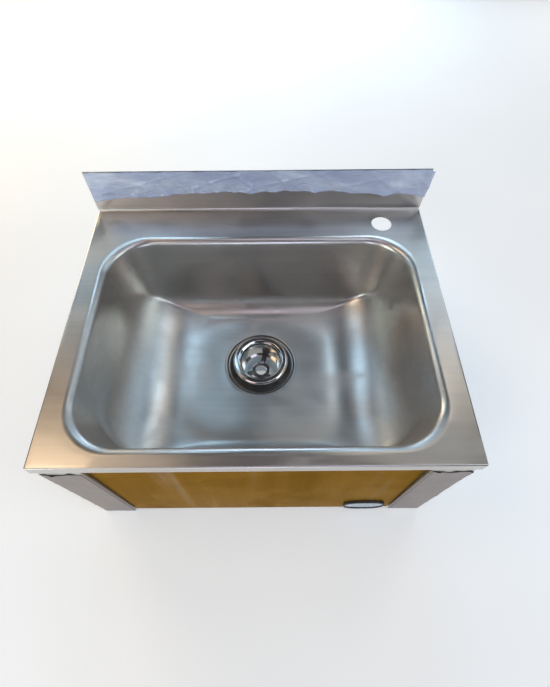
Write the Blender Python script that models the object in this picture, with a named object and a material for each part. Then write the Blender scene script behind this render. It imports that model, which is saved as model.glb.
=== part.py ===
"""Wall-hung hand wash basin worked by a knee panel, modelled as its separate pieces.

Metres, +Z up, +X to the user's right, +Y towards the wall.  The origin is at the middle of the
base: the basin stands on the bottom rim of its two side panels at z = 0.
"""
import math

import bmesh
import bpy
from mathutils import Matrix, Vector

# Overall sizes
DECK_W = 0.500
DECK_D = 0.400
BODY_H = 0.255
SPLASH_H = 0.070
SHEET = 0.0012
GAP = 0.0003
DROP = 0.015
BEND = 0.002
COVE = 0.003
FRONT = -DECK_D / 2
BACK = DECK_D / 2

# Bowl: a rounded rectangle pressed into the deck
RIM_LAND = 0.015
SIDE_LAND = 0.024
REAR_LAND = 0.059
RIM_W = DECK_W - 2 * SIDE_LAND
RIM_D = DECK_D - RIM_LAND - REAR_LAND
RIM_R = 0.010
RIM_CORNER = 0.062
FLOOR_CORNER = 0.048
BOWL_DEPTH = 0.135
WALL_SLOPE = math.radians(10.5)
SIDE_FLOOR_R = 0.100
END_FLOOR_R = 0.034
FLOOR_RISE = 0.003
BOWL_Y = FRONT + RIM_LAND + RIM_D / 2

# Waste outlet and tap hole
WASTE_Y = BOWL_Y + 0.021
THROAT_R = 0.029
CUP_R = THROAT_R + 0.002
HOLE_CLEAR = 0.002
FLANGE_R = CUP_R + 0.012
RECESS_R = FLANGE_R + 0.0085
RECESS_DEPTH = 0.003
SEAL_R = RECESS_R - 0.003
HUB_R = 0.015
HUB_HOLE_R = 0.0084
GRATE_DROP = 0.036
GRATE_T = 0.003
ARM_W = 0.008
ARM_TURN = math.radians(12)
TAIL_R = THROAT_R - 0.0051
TAIL_BORE_R = TAIL_R - 0.0034
TAIL_L = 0.040
SEAL_H = 0.010
LOWER_SEAL_H = 0.003
TAP_X = DECK_W / 2 - 0.064
TAP_Y = BACK - 0.035
TAP_R = 0.015

# Side panels
SIDE_INSET = 0.0035
SIDE_X = DECK_W / 2 - SIDE_INSET
FLANGE_W = 0.048
FLANGE_Y = FRONT + 0.002
LIP = 0.015
FILM_DROP = 0.031
FILM_T = 0.0004
FILM_CLEAR = 0.0003
FILM_FOOT = 0.0015

# Rear rails, and the weld studs and nuts that hold them and the valve rail
TOP_RAIL_Z = BODY_H - 0.070
BOTTOM_RAIL_Z = 0.035
REAR_RAIL_H = 0.040
REAR_RAIL_DEEP = 0.010
WALL_SCREW_X = 0.150
WALL_SCREW_R = 0.0045
STUD_R = 0.0025
STUD_L = 0.0095
STUD_INSET = 0.0085
STUD_SPREAD = 0.018
NUT_AF = 0.008
NUT_T = 0.004

# Knee panel and its hinge
PANEL_Y = FRONT + 0.006
PANEL_CLEAR = 0.0015
PANEL_W = 2 * (SIDE_X - FLANGE_W - PANEL_CLEAR)
RAIL_FOOT = BODY_H - 0.0265
PANEL_TOP = RAIL_FOOT - 0.0025
PANEL_FOOT = 0.003
PIN_R = 0.0025
PIN_HEAD_AF = 2 * PIN_R + 0.003
BUSH_R = PIN_R + 0.0016
HINGE_Y = PANEL_Y + SHEET + 0.6 * PIN_HEAD_AF + 0.0005
HINGE_Z = BODY_H - 0.038
PANEL_LEAN = math.radians(0.6)
RETURN_L = HINGE_Y - FLANGE_Y + 0.006
TAB_Z = 0.030
TAB_H = 0.016
TAB_BACK = 0.0045
PANEL_DEEP = FLANGE_Y + RETURN_L - PANEL_Y + TAB_BACK + (HINGE_Z - TAB_Z) * math.tan(PANEL_LEAN)
TAB_REACH = 0.007
BUFFER_T = 0.0018
STRIKER_Y = FRONT + 0.0185
STRIKER_HALF = 0.016
BADGE_X = PANEL_W / 2 - 0.041
BADGE_W = 0.062
BADGE_H = 0.042
BADGE_T = 0.003
BADGE_Z = 0.026

# Valve train behind the knee panel.  Distances along it start at the valve rail's front face.
VALVE_Z = 0.070
RAIL_Y = FRONT + 0.045
RAIL_H = 0.060
RAIL_LIP = 0.014
NECK_R = 0.012
NECK_L = 0.009
VALVE_R = 0.017
VALVE_AF = 0.026
VALVE_END = 0.054
STEM_R = 0.0060
STEM_BORE = 0.0063
CHAMBER_R = 0.012
CHAMBER = (0.007, 0.051)
COLLAR = (0.011, 0.016)
COLLAR_R = 0.0112
STEM_END = 0.037
BUTTON_R = 0.0130
SPRING_R = 0.0070
WIRE_R = 0.0008
OUTLET_AT = 0.029
OUTLET_L = 0.040
PORT_R = 0.0105
PORT_BORE = 0.006
JOINT_AT = 0.075
UNION_AF = 0.028
MIXER_Y = RAIL_Y + 0.097
MIXER_R = 0.016
ARM_L = 0.038
INLET_L = 0.062
INLET_AF = 0.027
BOSS_R = 0.010
BOSS_L = 0.026
SPINDLE_R = 0.0041
KNOB_R = 0.014

STEEL = ("brushed_steel", (0.60, 0.57, 0.53), 0.34, 1.0)
CHROME = ("chrome", (0.82, 0.83, 0.84), 0.08, 1.0)
ZINC = ("zinc_steel", (0.62, 0.63, 0.62), 0.38, 1.0)
BRASS = ("brass", (0.72, 0.58, 0.30), 0.30, 1.0)
RUBBER = ("black_rubber", (0.02, 0.02, 0.02), 0.45, 0.0)
FILM = ("pale_film", (0.62, 0.66, 0.80), 0.30, 0.0)
WHITE = ("white_plastic", (0.85, 0.88, 0.88), 0.40, 0.0)
NYLON = ("nylon", (0.80, 0.79, 0.74), 0.45, 0.0)
BLUE = ("blue_resin", (0.16, 0.34, 0.55), 0.15, 0.0)
KNOB = ("black_plastic", (0.03, 0.03, 0.03), 0.40, 0.0)


def material(spec):
    """One Principled material per finish, shared by the pieces that have it."""
    name, colour, roughness, metallic = spec
    found = bpy.data.materials.get(name)
    if found:
        return found
    made = bpy.data.materials.new(name)
    made.use_nodes = True
    shader = made.node_tree.nodes["Principled BSDF"]
    shader.inputs["Base Color"].default_value = (*colour, 1.0)
    shader.inputs["Roughness"].default_value = roughness
    shader.inputs["Metallic"].default_value = metallic
    return made


def piece(name, bm, spec, origin=(0, 0, 0), sharp=35):
    """Turn a bmesh, drawn in world metres, into an object whose origin is at the given point."""
    origin = Vector(origin)
    bmesh.ops.translate(bm, verts=bm.verts, vec=-origin)
    mesh = bpy.data.meshes.new(name)
    bm.to_mesh(mesh)
    bm.free()
    mesh.materials.append(material(spec))
    mesh.shade_smooth()
    mesh.set_sharp_from_angle(angle=math.radians(sharp))
    obj = bpy.data.objects.new(name, mesh)
    obj.location = origin
    bpy.context.collection.objects.link(obj)
    return obj


def add_box(bm, low, high):
    """A box between two opposite corners."""
    low, high = Vector(low), Vector(high)
    made = bmesh.ops.create_cube(bm, size=1.0)
    bmesh.ops.scale(bm, vec=high - low, verts=made["verts"])
    bmesh.ops.translate(bm, vec=(low + high) / 2, verts=made["verts"])


def boxed(name, low, high, spec, origin=(0, 0, 0)):
    bm = bmesh.new()
    add_box(bm, low, high)
    return piece(name, bm, spec, origin)


def boolean(target, tool, operation="DIFFERENCE"):
    """Cut the tool from the target, or join it on, and keep the tool out of the build."""
    step = target.modifiers.new(tool.name, "BOOLEAN")
    step.object = tool
    step.operation = operation
    step.solver = "EXACT"
    tool.hide_render = True
    tool.display_type = "WIRE"


def axis_turn(axis):
    """The rotation that takes +Z onto the named axis, +X, +Y or +Z."""
    if axis == "X":
        return Matrix.Rotation(math.pi / 2, 3, "Y")
    if axis == "Y":
        return Matrix.Rotation(-math.pi / 2, 3, "X")
    return Matrix.Identity(3)


def ring_points(radius, along, count, sides=0):
    """Points round an axis: a circle, or a regular outline with flats at the given radius."""
    points = []
    for i in range(count):
        angle = 2 * math.pi * i / count
        reach = radius
        if sides:
            part = 2 * math.pi / sides
            reach = radius / math.cos((angle + part / 2) % part - part / 2)
        points.append(Vector((reach * math.cos(angle), reach * math.sin(angle), along)))
    return points


def skin(bm, rings, closed):
    """Join rings of points with quads; a closed run is a tube, an open one gets end caps."""
    loops = [[bm.verts.new(p) for p in ring] for ring in rings]
    pairs = list(zip(loops, loops[1:]))
    if closed:
        pairs.append((loops[-1], loops[0]))
    for a, b in pairs:
        for i in range(len(a)):
            j = (i + 1) % len(a)
            bm.faces.new((a[i], a[j], b[j], b[i]))
    if not closed:
        bm.faces.new(reversed(loops[0]))
        bm.faces.new(loops[-1])
    bmesh.ops.recalc_face_normals(bm, faces=bm.faces)


def turned(name, centre, axis, outside, spec, bore=(), count=24, origin=None):
    """A turned or hexagonal piece on an axis through the centre.

    outside and bore list (distance along the axis, radius) or (distance, radius, sides), both
    from the low end to the high end; with no bore the ends are closed.
    """
    rings = [ring_points(s[1], s[0], count, *s[2:]) for s in outside]
    rings += [ring_points(s[1], s[0], count, *s[2:]) for s in reversed(bore)]
    turn = axis_turn(axis)
    bm = bmesh.new()
    skin(bm, [[turn @ p + Vector(centre) for p in ring] for ring in rings], closed=bool(bore))
    return piece(name, bm, spec, centre if origin is None else origin)


def sheet(name, faces, spec, normal, origin=(0, 0, 0), thickness=SHEET):
    """Folded sheet metal: quads given by their corners, thickened away from the outer side.

    normal is the way the first face looks, which is the sheet's outer side.
    """
    bm = bmesh.new()
    for corners in faces:
        bm.faces.new([bm.verts.new(c) for c in corners])
    bmesh.ops.remove_doubles(bm, verts=bm.verts, dist=0.00005)
    bmesh.ops.recalc_face_normals(bm, faces=bm.faces)
    bm.faces.ensure_lookup_table()
    bm.normal_update()
    if bm.faces[0].normal.dot(Vector(normal)) < 0:
        bmesh.ops.reverse_faces(bm, faces=bm.faces)
    obj = piece(name, bm, spec, origin)
    thicken(obj, thickness)
    return obj


def thicken(obj, thickness):
    step = obj.modifiers.new("thickness", "SOLIDIFY")
    step.thickness = thickness
    step.offset = -1
    step.use_even_offset = True


def tray(low, high, open_side):
    """Five faces of a box between two corners, open on the named side: +Y or -Y."""
    (x0, y0, z0), (x1, y1, z1) = low, high
    shut = y0 if open_side == "+Y" else y1
    return [
        ((x0, shut, z0), (x1, shut, z0), (x1, shut, z1), (x0, shut, z1)),
        ((x0, y0, z0), (x0, y1, z0), (x0, y1, z1), (x0, y0, z1)),
        ((x1, y0, z0), (x1, y1, z0), (x1, y1, z1), (x1, y0, z1)),
        ((x0, y0, z0), (x1, y0, z0), (x1, y1, z0), (x0, y1, z0)),
        ((x0, y0, z1), (x1, y0, z1), (x1, y1, z1), (x0, y1, z1)),
    ]


# ---- basin top -----------------------------------------------------------------------------

CORNER_STEPS = 8
ARC_STEPS = 7
SIDE_STEPS = 10
END_STEPS = 6


def rounded_rectangle(half, corner, centre_y, heights):
    """Points of a rounded rectangle, counter-clockwise from the start of its right-rear corner.

    half holds its half width and half depth; heights holds the height of its two short sides and
    of its two long sides, and each corner passes evenly from one to the other.
    """
    points = []
    inner_x = half[0] - corner
    inner_y = half[1] - corner
    for k, (sx, sy) in enumerate(((1, 1), (-1, 1), (-1, -1), (1, -1))):
        for i in range(CORNER_STEPS + 1):
            angle = math.pi / 2 * (k + i / CORNER_STEPS)
            x = sx * inner_x + corner * math.cos(angle)
            y = centre_y + sy * inner_y + corner * math.sin(angle)
            share = math.cos(angle) ** 2
            points.append(Vector((x, y, share * heights[0] + (1 - share) * heights[1])))
        steps = SIDE_STEPS if k % 2 == 0 else END_STEPS
        ahead = [(-inner_x, half[1]), (-half[0], -inner_y), (inner_x, -half[1]), (half[0], inner_y)][k]
        last = points[-1]
        target = Vector((ahead[0], centre_y + ahead[1], last.z))
        points += [last.lerp(target, i / steps) for i in range(1, steps)]
    return points


def deck_outline(like, half_w, front, back, height):
    """Push each point of the bowl's outline straight out to the deck's edge, corners to corners."""
    corner_mid = CORNER_STEPS // 2
    points = []
    run = 0
    for k, (sx, sy) in enumerate(((1, 1), (-1, 1), (-1, -1), (1, -1))):
        steps = SIDE_STEPS if k % 2 == 0 else END_STEPS
        for i in range(CORNER_STEPS + steps):
            p = like[run + i]
            edge_x = sx * half_w
            edge_y = back if sy > 0 else front
            on_side = (i < corner_mid) == (k % 2 == 0)
            if i == corner_mid:
                points.append(Vector((edge_x, edge_y, height)))
            elif i > CORNER_STEPS and k % 2 == 1:
                points.append(Vector((edge_x, p.y, height)))
            elif i > CORNER_STEPS or not on_side:
                points.append(Vector((p.x, edge_y, height)))
            else:
                points.append(Vector((edge_x, p.y, height)))
        run += CORNER_STEPS + steps
    return points


def bowl_profile(floor_r):
    """One wall of the bowl from the rim to the floor: inset and depth, the wall's foot last but six."""
    steep = math.pi / 2 - WALL_SLOPE
    run = []
    for i in range(5):
        angle = steep * i / 4
        run.append((RIM_R * math.sin(angle), RIM_R * (1 - math.cos(angle))))
    rim_inset, rim_depth = run[-1]
    floor_edge = BOWL_DEPTH - FLOOR_RISE
    wall_end = floor_edge - floor_r * (1 - math.cos(steep))
    wall_inset = rim_inset + (wall_end - rim_depth) * math.tan(WALL_SLOPE)
    run.append(((rim_inset + wall_inset) / 2, (rim_depth + wall_end) / 2))
    for i in range(ARC_STEPS + 1):
        angle = steep * (1 - i / ARC_STEPS)
        inset = wall_inset + floor_r * (math.sin(steep) - math.sin(angle))
        run.append((inset, floor_edge - floor_r * (1 - math.cos(angle))))
    return run


def bowl_rings():
    """The pressed bowl from its rim down to the hole in its recess, ring by ring.

    Its short sides turn into the floor through a wide arc and its long sides through a tight one.
    """
    sides = bowl_profile(SIDE_FLOOR_R)
    ends = bowl_profile(END_FLOOR_R)
    rings = []
    for (in_x, deep_x), (in_y, deep_y) in zip(sides, ends):
        share = (deep_x + deep_y) / (2 * (BOWL_DEPTH - FLOOR_RISE))
        corner = RIM_CORNER + (FLOOR_CORNER - RIM_CORNER) * share
        rings.append(rounded_rectangle((RIM_W / 2 - in_x, RIM_D / 2 - in_y), corner, BOWL_Y,
                                       (BODY_H - deep_x, BODY_H - deep_y)))
    edge = rings[-1]

    def circle(radius, depth):
        points = []
        for p in edge:
            angle = math.atan2(p.y - WASTE_Y, p.x)
            points.append(Vector((radius * math.cos(angle), WASTE_Y + radius * math.sin(angle),
                                  BODY_H - depth)))
        return points

    lip = circle(RECESS_R + 0.002, BOWL_DEPTH)
    for i in (1, 2):
        rings.append([a.lerp(b, i / 3) for a, b in zip(edge, lip)])
    rings.append(lip)
    rings.append(circle(RECESS_R, BOWL_DEPTH + RECESS_DEPTH / 3))
    rings.append(circle(RECESS_R - 0.001, BOWL_DEPTH + RECESS_DEPTH))
    rings.append(circle(CUP_R + HOLE_CLEAR, BOWL_DEPTH + RECESS_DEPTH))
    return rings


def basin_top():
    """Deck, bowl, three drop edges and the rear upstand, all pressed and folded from one sheet."""
    bowl = bowl_rings()
    half = DECK_W / 2
    bend = [math.pi / 2 * i / 2 for i in range(3)]
    flat = deck_outline(bowl[0], half - BEND, FRONT + BEND, BACK - SHEET - COVE, BODY_H)
    count = len(flat)
    bm = bmesh.new()
    rings = [[bm.verts.new(p) for p in ring] for ring in [flat] + bowl]
    for a, b in zip(rings, rings[1:]):
        for i in range(count):
            j = (i + 1) % count
            bm.faces.new((a[i], a[j], b[j], b[i]))
    corner_mid = CORNER_STEPS // 2
    second = CORNER_STEPS + SIDE_STEPS
    rear = list(range(corner_mid, second + corner_mid + 1))
    around = list(range(second + corner_mid, count)) + list(range(corner_mid + 1))

    def strip(start, places):
        previous = start
        for row in places:
            current = [bm.verts.new(p) for p in row]
            for i in range(len(row) - 1):
                bm.faces.new((previous[i], previous[i + 1], current[i + 1], current[i]))
            previous = current

    def moved(index, out, down):
        p = flat[index]
        x = p.x
        y = p.y
        if abs(abs(x) - (half - BEND)) < 1e-6:
            x += math.copysign(out, x)
        if abs(y - (FRONT + BEND)) < 1e-6:
            y -= out
        return Vector((x, y, BODY_H - down))

    rows = [[moved(i, BEND * math.sin(a), BEND * (1 - math.cos(a))) for i in around] for a in bend[1:]]
    rows.append([moved(i, BEND, DROP) for i in around])
    strip([rings[0][i] for i in around], rows)

    def raised(index, back, up):
        p = flat[index]
        flare = up / COVE * BEND if up < COVE else BEND
        x = p.x
        if abs(abs(x) - (half - BEND)) < 1e-6:
            x += math.copysign(flare, x)
        return Vector((x, p.y + back, BODY_H + up))

    rows = [[raised(i, COVE * math.sin(a), COVE * (1 - math.cos(a))) for i in rear] for a in bend[1:]]
    rows.append([raised(i, COVE, SPLASH_H) for i in rear])
    strip([rings[0][i] for i in rear], rows)
    bmesh.ops.recalc_face_normals(bm, faces=bm.faces)
    bm.faces.ensure_lookup_table()
    bm.normal_update()
    if bm.faces[0].normal.z < 0:
        bmesh.ops.reverse_faces(bm, faces=bm.faces)
    top = piece("basin_top", bm, STEEL)
    thicken(top, SHEET)
    drill = turned("tap_drill", (TAP_X, TAP_Y, BODY_H), "Z", [(-0.01, TAP_R), (0.01, TAP_R)], STEEL,
                   count=32)
    boolean(top, drill)
    return top


def splash_film():
    """Protective film on the upstand: a thin skin whose loose lower edge waves."""
    steps = 24
    face = BACK - SHEET - FILM_CLEAR
    bm = bmesh.new()
    low_front, high_front = [], []
    for i in range(steps + 1):
        u = 2 * i / steps - 1
        hem = 0.030 - 0.008 * u * u - 0.003 * math.cos(3 * math.pi * u)
        low_front.append(Vector((u * (DECK_W / 2 - BEND), face, BODY_H + hem)))
        high_front.append(Vector((u * (DECK_W / 2 - BEND), face, BODY_H + SPLASH_H)))
    thick = Vector((0, -FILM_T, 0))
    rings = [low_front, high_front, [p + thick for p in high_front], [p + thick for p in low_front]]
    loops = [[bm.verts.new(p) for p in ring] for ring in rings]
    for a, b in zip(loops, loops[1:] + loops[:1]):
        for i in range(steps):
            bm.faces.new((a[i], a[i + 1], b[i + 1], b[i]))
    bm.faces.new([loop[0] for loop in loops])
    bm.faces.new([loop[-1] for loop in reversed(loops)])
    bmesh.ops.recalc_face_normals(bm, faces=bm.faces)
    return piece("splash_film", bm, FILM)


# ---- body ----------------------------------------------------------------------------------

STUD_PLACES = [  # y, z and the axis that each weld stud on a side panel points along
    (RAIL_Y + (RAIL_LIP + SHEET) / 2, VALVE_Z - STUD_SPREAD, "X"),
    (RAIL_Y + (RAIL_LIP + SHEET) / 2, VALVE_Z + STUD_SPREAD, "X"),
    (BACK, TOP_RAIL_Z, "Y"),
    (BACK, BOTTOM_RAIL_Z, "Y"),
]
STUD_REAR_X = SIDE_X - STUD_INSET


def side_panel(name, side):
    """One bent side: wall, front flange with its return, rear flange, top and bottom lips."""
    top = BODY_H - SHEET - GAP
    wall = side * SIDE_X
    lip = side * (SIDE_X - LIP)
    inner = side * (SIDE_X - FLANGE_W)
    deep = FLANGE_Y + RETURN_L
    faces = [
        ((wall, FLANGE_Y, 0), (wall, BACK, 0), (wall, BACK, top), (wall, FLANGE_Y, top)),
        ((wall, FLANGE_Y, 0), (lip, FLANGE_Y, 0), (lip, FLANGE_Y, top), (wall, FLANGE_Y, top)),
        ((lip, FLANGE_Y, 0), (inner, FLANGE_Y, 0), (inner, FLANGE_Y, top), (lip, FLANGE_Y, top)),
        ((inner, FLANGE_Y, 0), (inner, deep, 0), (inner, deep, top), (inner, FLANGE_Y, top)),
        ((wall, BACK, 0), (lip, BACK, 0), (lip, BACK, top), (wall, BACK, top)),
        ((wall, FLANGE_Y, 0), (wall, BACK, 0), (lip, BACK, 0), (lip, FLANGE_Y, 0)),
        ((wall, FLANGE_Y, top), (wall, BACK, top), (lip, BACK, top), (lip, FLANGE_Y, top)),
    ]
    panel = sheet(name, faces, STEEL, (side, 0, 0))
    hole = turned(f"{name}_pin_drill", (inner, HINGE_Y, HINGE_Z), "X",
                  [(-0.004, PIN_R + GAP), (0.004, PIN_R + GAP)], STEEL, count=16)
    boolean(panel, hole)
    for number, (y, z, axis) in enumerate(STUD_PLACES):
        if axis == "X":
            start = (wall - side * SHEET / 2, y, z)
            span = sorted((0, -side * (STUD_L + SHEET / 2)))
        else:
            start = (side * STUD_REAR_X, y - SHEET / 2, z)
            span = (-STUD_L - SHEET / 2, 0)
        stud = turned(f"{name}_stud_{number}", start, axis, [(s, STUD_R) for s in span], ZINC, count=12)
        boolean(panel, stud, "UNION")
    return panel


def side_nuts(prefix, side):
    """The nuts on a side panel's weld studs."""
    names = ("valve_rail_nut_low", "valve_rail_nut_high", "top_rail_nut", "bottom_rail_nut")
    for label, (y, z, axis) in zip(names, STUD_PLACES):
        if axis == "X":
            seat = side * (SIDE_X - 2 * SHEET - 2 * GAP)
            span = sorted((0, -side * NUT_T))
            centre = (seat, y, z)
        else:
            centre = (side * STUD_REAR_X, BACK - 2 * SHEET - 2 * GAP, z)
            span = (-NUT_T, 0)
        outside = [(s, NUT_AF / 2, 6) for s in span]
        bore = [(s, STUD_R + GAP) for s in span]
        turned(f"{prefix}_{label}", centre, axis, outside, ZINC, bore, count=12)


def panel_film(name, side):
    """Protective film on a side panel: an L-shaped skin over its wall and its front flange."""
    top = BODY_H - FILM_DROP
    skin_out = FILM_CLEAR + FILM_T
    wall = side * (SIDE_X + skin_out)
    front = FLANGE_Y - skin_out
    inner = side * (SIDE_X - FLANGE_W)
    foot = FILM_FOOT
    faces = [
        ((wall, front, foot), (wall, BACK, foot), (wall, BACK, top), (wall, front, top)),
        ((wall, front, foot), (inner, front, foot), (inner, front, top), (wall, front, top)),
    ]
    return sheet(name, faces, FILM, (side, 0, 0), thickness=FILM_T)


def front_rail():
    """The fixed strip between the side panels, above the knee panel."""
    half = SIDE_X - FLANGE_W - GAP
    top = BODY_H - SHEET - GAP
    foot = RAIL_FOOT
    deep = PANEL_Y + 0.008
    faces = [
        ((-half, PANEL_Y, foot), (half, PANEL_Y, foot), (half, PANEL_Y, top), (-half, PANEL_Y, top)),
        ((-half, PANEL_Y, foot), (half, PANEL_Y, foot), (half, deep, foot), (-half, deep, foot)),
    ]
    return sheet("front_rail", faces, STEEL, (0, -1, 0))


def rear_rail(name, height):
    """A channel across the back that stiffens the body and takes the wall screws."""
    half = SIDE_X - SHEET - GAP
    back = BACK - SHEET - GAP
    low = (-half, back - REAR_RAIL_DEEP, height - REAR_RAIL_H / 2)
    high = (half, back, height + REAR_RAIL_H / 2)
    rail = sheet(name, tray(low, high, "-Y"), ZINC, (0, 1, 0))
    drills = [(side * WALL_SCREW_X, WALL_SCREW_R) for side in (-1, 1)]
    drills += [(side * STUD_REAR_X, STUD_R + GAP) for side in (-1, 1)]
    for number, (x, radius) in enumerate(drills):
        drill = turned(f"{name}_drill_{number}", (x, back, height), "Y",
                       [(-0.004, radius), (0.004, radius)], ZINC, count=16)
        boolean(rail, drill)
    return rail


def valve_rail():
    """The channel across the body that carries the self-closing valve."""
    half = SIDE_X - SHEET - GAP
    low = (-half, RAIL_Y, VALVE_Z - RAIL_H / 2)
    high = (half, RAIL_Y + RAIL_LIP, VALVE_Z + RAIL_H / 2)
    rail = sheet("valve_rail", tray(low, high, "+Y"), ZINC, (0, -1, 0))
    neck = turned("valve_rail_drill", (0, RAIL_Y, VALVE_Z), "Y",
                  [(-0.004, NECK_R + GAP), (0.004, NECK_R + GAP)], ZINC)
    boolean(rail, neck)
    number = 0
    for side in (-1, 1):
        for y, z, axis in STUD_PLACES:
            if axis == "X":
                drill = turned(f"valve_rail_stud_drill_{number}", (side * half, y, z), "X",
                               [(-0.004, STUD_R + GAP), (0.004, STUD_R + GAP)], ZINC, count=12)
                boolean(rail, drill)
                number += 1
    return rail


# ---- knee panel ----------------------------------------------------------------------------

HINGE = Vector((0, HINGE_Y, HINGE_Z))


def lean(obj):
    """Tip a piece of the knee panel about the hinge, so that the panel's foot stands forward."""
    turn = Matrix.Rotation(-PANEL_LEAN, 4, "X")
    obj.data.transform(turn)
    for step in obj.modifiers:
        if step.type == "BOOLEAN":
            step.object.data.transform(turn)
    return obj


def knee_panel():
    """The panel that the knee pushes: a shallow tray with two stop tabs behind its edges."""
    half = PANEL_W / 2
    deep = PANEL_Y + PANEL_DEEP
    low = (-half, PANEL_Y, PANEL_FOOT)
    high = (half, deep, PANEL_TOP)
    panel = sheet("knee_panel", tray(low, high, "+Y"), STEEL, (0, -1, 0), origin=HINGE)
    for number, side in enumerate((-1, 1)):
        inside, outside = sorted((side * (half - SHEET / 2), side * (half + TAB_REACH)))
        tab = boxed(f"knee_panel_tab_{number}", (inside, deep - GAP - SHEET, TAB_Z - TAB_H / 2),
                    (outside, deep - GAP, TAB_Z + TAB_H / 2), STEEL, origin=HINGE)
        boolean(panel, tab, "UNION")
        drill = turned(f"knee_panel_drill_{number}", (side * half, HINGE_Y, HINGE_Z), "X",
                       [(-0.004, BUSH_R + GAP), (0.004, BUSH_R + GAP)], STEEL, count=24, origin=HINGE)
        boolean(panel, drill)
    return lean(panel)


def stop_buffer(name, side):
    """The rubber pad on a stop tab, which rests behind the side panel's return."""
    half = PANEL_W / 2
    face = PANEL_Y + PANEL_DEEP - SHEET - 2 * GAP
    near, far = sorted((side * (half + GAP), side * (half + TAB_REACH - 0.0005)))
    low = (near, face - BUFFER_T, TAB_Z - TAB_H / 2 + 0.001)
    high = (far, face, TAB_Z + TAB_H / 2 - 0.001)
    return lean(boxed(name, low, high, RUBBER, origin=HINGE))


def striker_block():
    """The block on the back of the knee panel that pushes the valve's button."""
    face = PANEL_Y + SHEET + GAP
    low = (-STRIKER_HALF, face, VALVE_Z - STRIKER_HALF)
    high = (STRIKER_HALF, STRIKER_Y, VALVE_Z + STRIKER_HALF)
    return lean(boxed("striker_block", low, high, KNOB, origin=HINGE))


def push_badge():
    """An oval badge low on the knee panel, with a bevelled front edge."""
    count = 40
    face = PANEL_Y - GAP
    bm = bmesh.new()
    rings = []
    for out, shrink in ((0.0, 0.0), (BADGE_T - 0.001, 0.0), (BADGE_T, 0.0015)):
        ring = []
        for i in range(count):
            angle = 2 * math.pi * i / count
            power = 2 / 2.6
            x = math.copysign(abs(math.cos(angle)) ** power, math.cos(angle))
            z = math.copysign(abs(math.sin(angle)) ** power, math.sin(angle))
            ring.append(Vector((BADGE_X + (BADGE_W / 2 - shrink) * x, face - out,
                                BADGE_Z + (BADGE_H / 2 - shrink) * z)))
        rings.append(ring)
    skin(bm, rings, closed=False)
    return lean(piece("push_badge", bm, BLUE, origin=HINGE))


def hinge_hardware(prefix, side):
    """One hinge: a hex-headed pin through the side return, a flanged bush and a lock nut."""
    half = PANEL_W / 2
    seat = SIDE_X - FLANGE_W + SHEET + GAP
    stub = half - SHEET - 0.009

    def along(places):
        """Sections listed from the outside in, as distances from the low end to the high end."""
        run = [(side * p[0], *p[1:]) for p in places]
        return run if side < 0 else run[::-1]

    head = PIN_HEAD_AF / 2
    pin = [(seat + 0.004, head, 6), (seat, head, 6), (seat, PIN_R), (stub, PIN_R)]
    axis_point = (0, HINGE_Y, HINGE_Z)
    turned(f"{prefix}_hinge_pin", axis_point, "X", along(pin), ZINC, count=12)
    flange = half + GAP
    barrel = half - SHEET - 0.0015
    bush = [(flange + 0.0008, 0.0065), (flange, 0.0065), (flange, BUSH_R), (barrel, BUSH_R)]
    bore = [(flange + 0.0008, PIN_R + GAP), (barrel, PIN_R + GAP)]
    turned(f"{prefix}_hinge_bush", axis_point, "X", along(bush), NYLON,
           along(bore), count=24, origin=axis_point)
    nut_face = barrel - GAP
    nut = [(nut_face, head, 6), (nut_face - 0.005, head, 6)]
    nut_bore = [(nut_face, PIN_R + GAP), (nut_face - 0.005, PIN_R + GAP)]
    turned(f"{prefix}_hinge_nut", axis_point, "X", along(nut), ZINC, along(nut_bore), count=12)


# ---- valve train ---------------------------------------------------------------------------

def at_y(sections):
    return [(RAIL_Y + s[0], *s[1:]) for s in sections]


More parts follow.
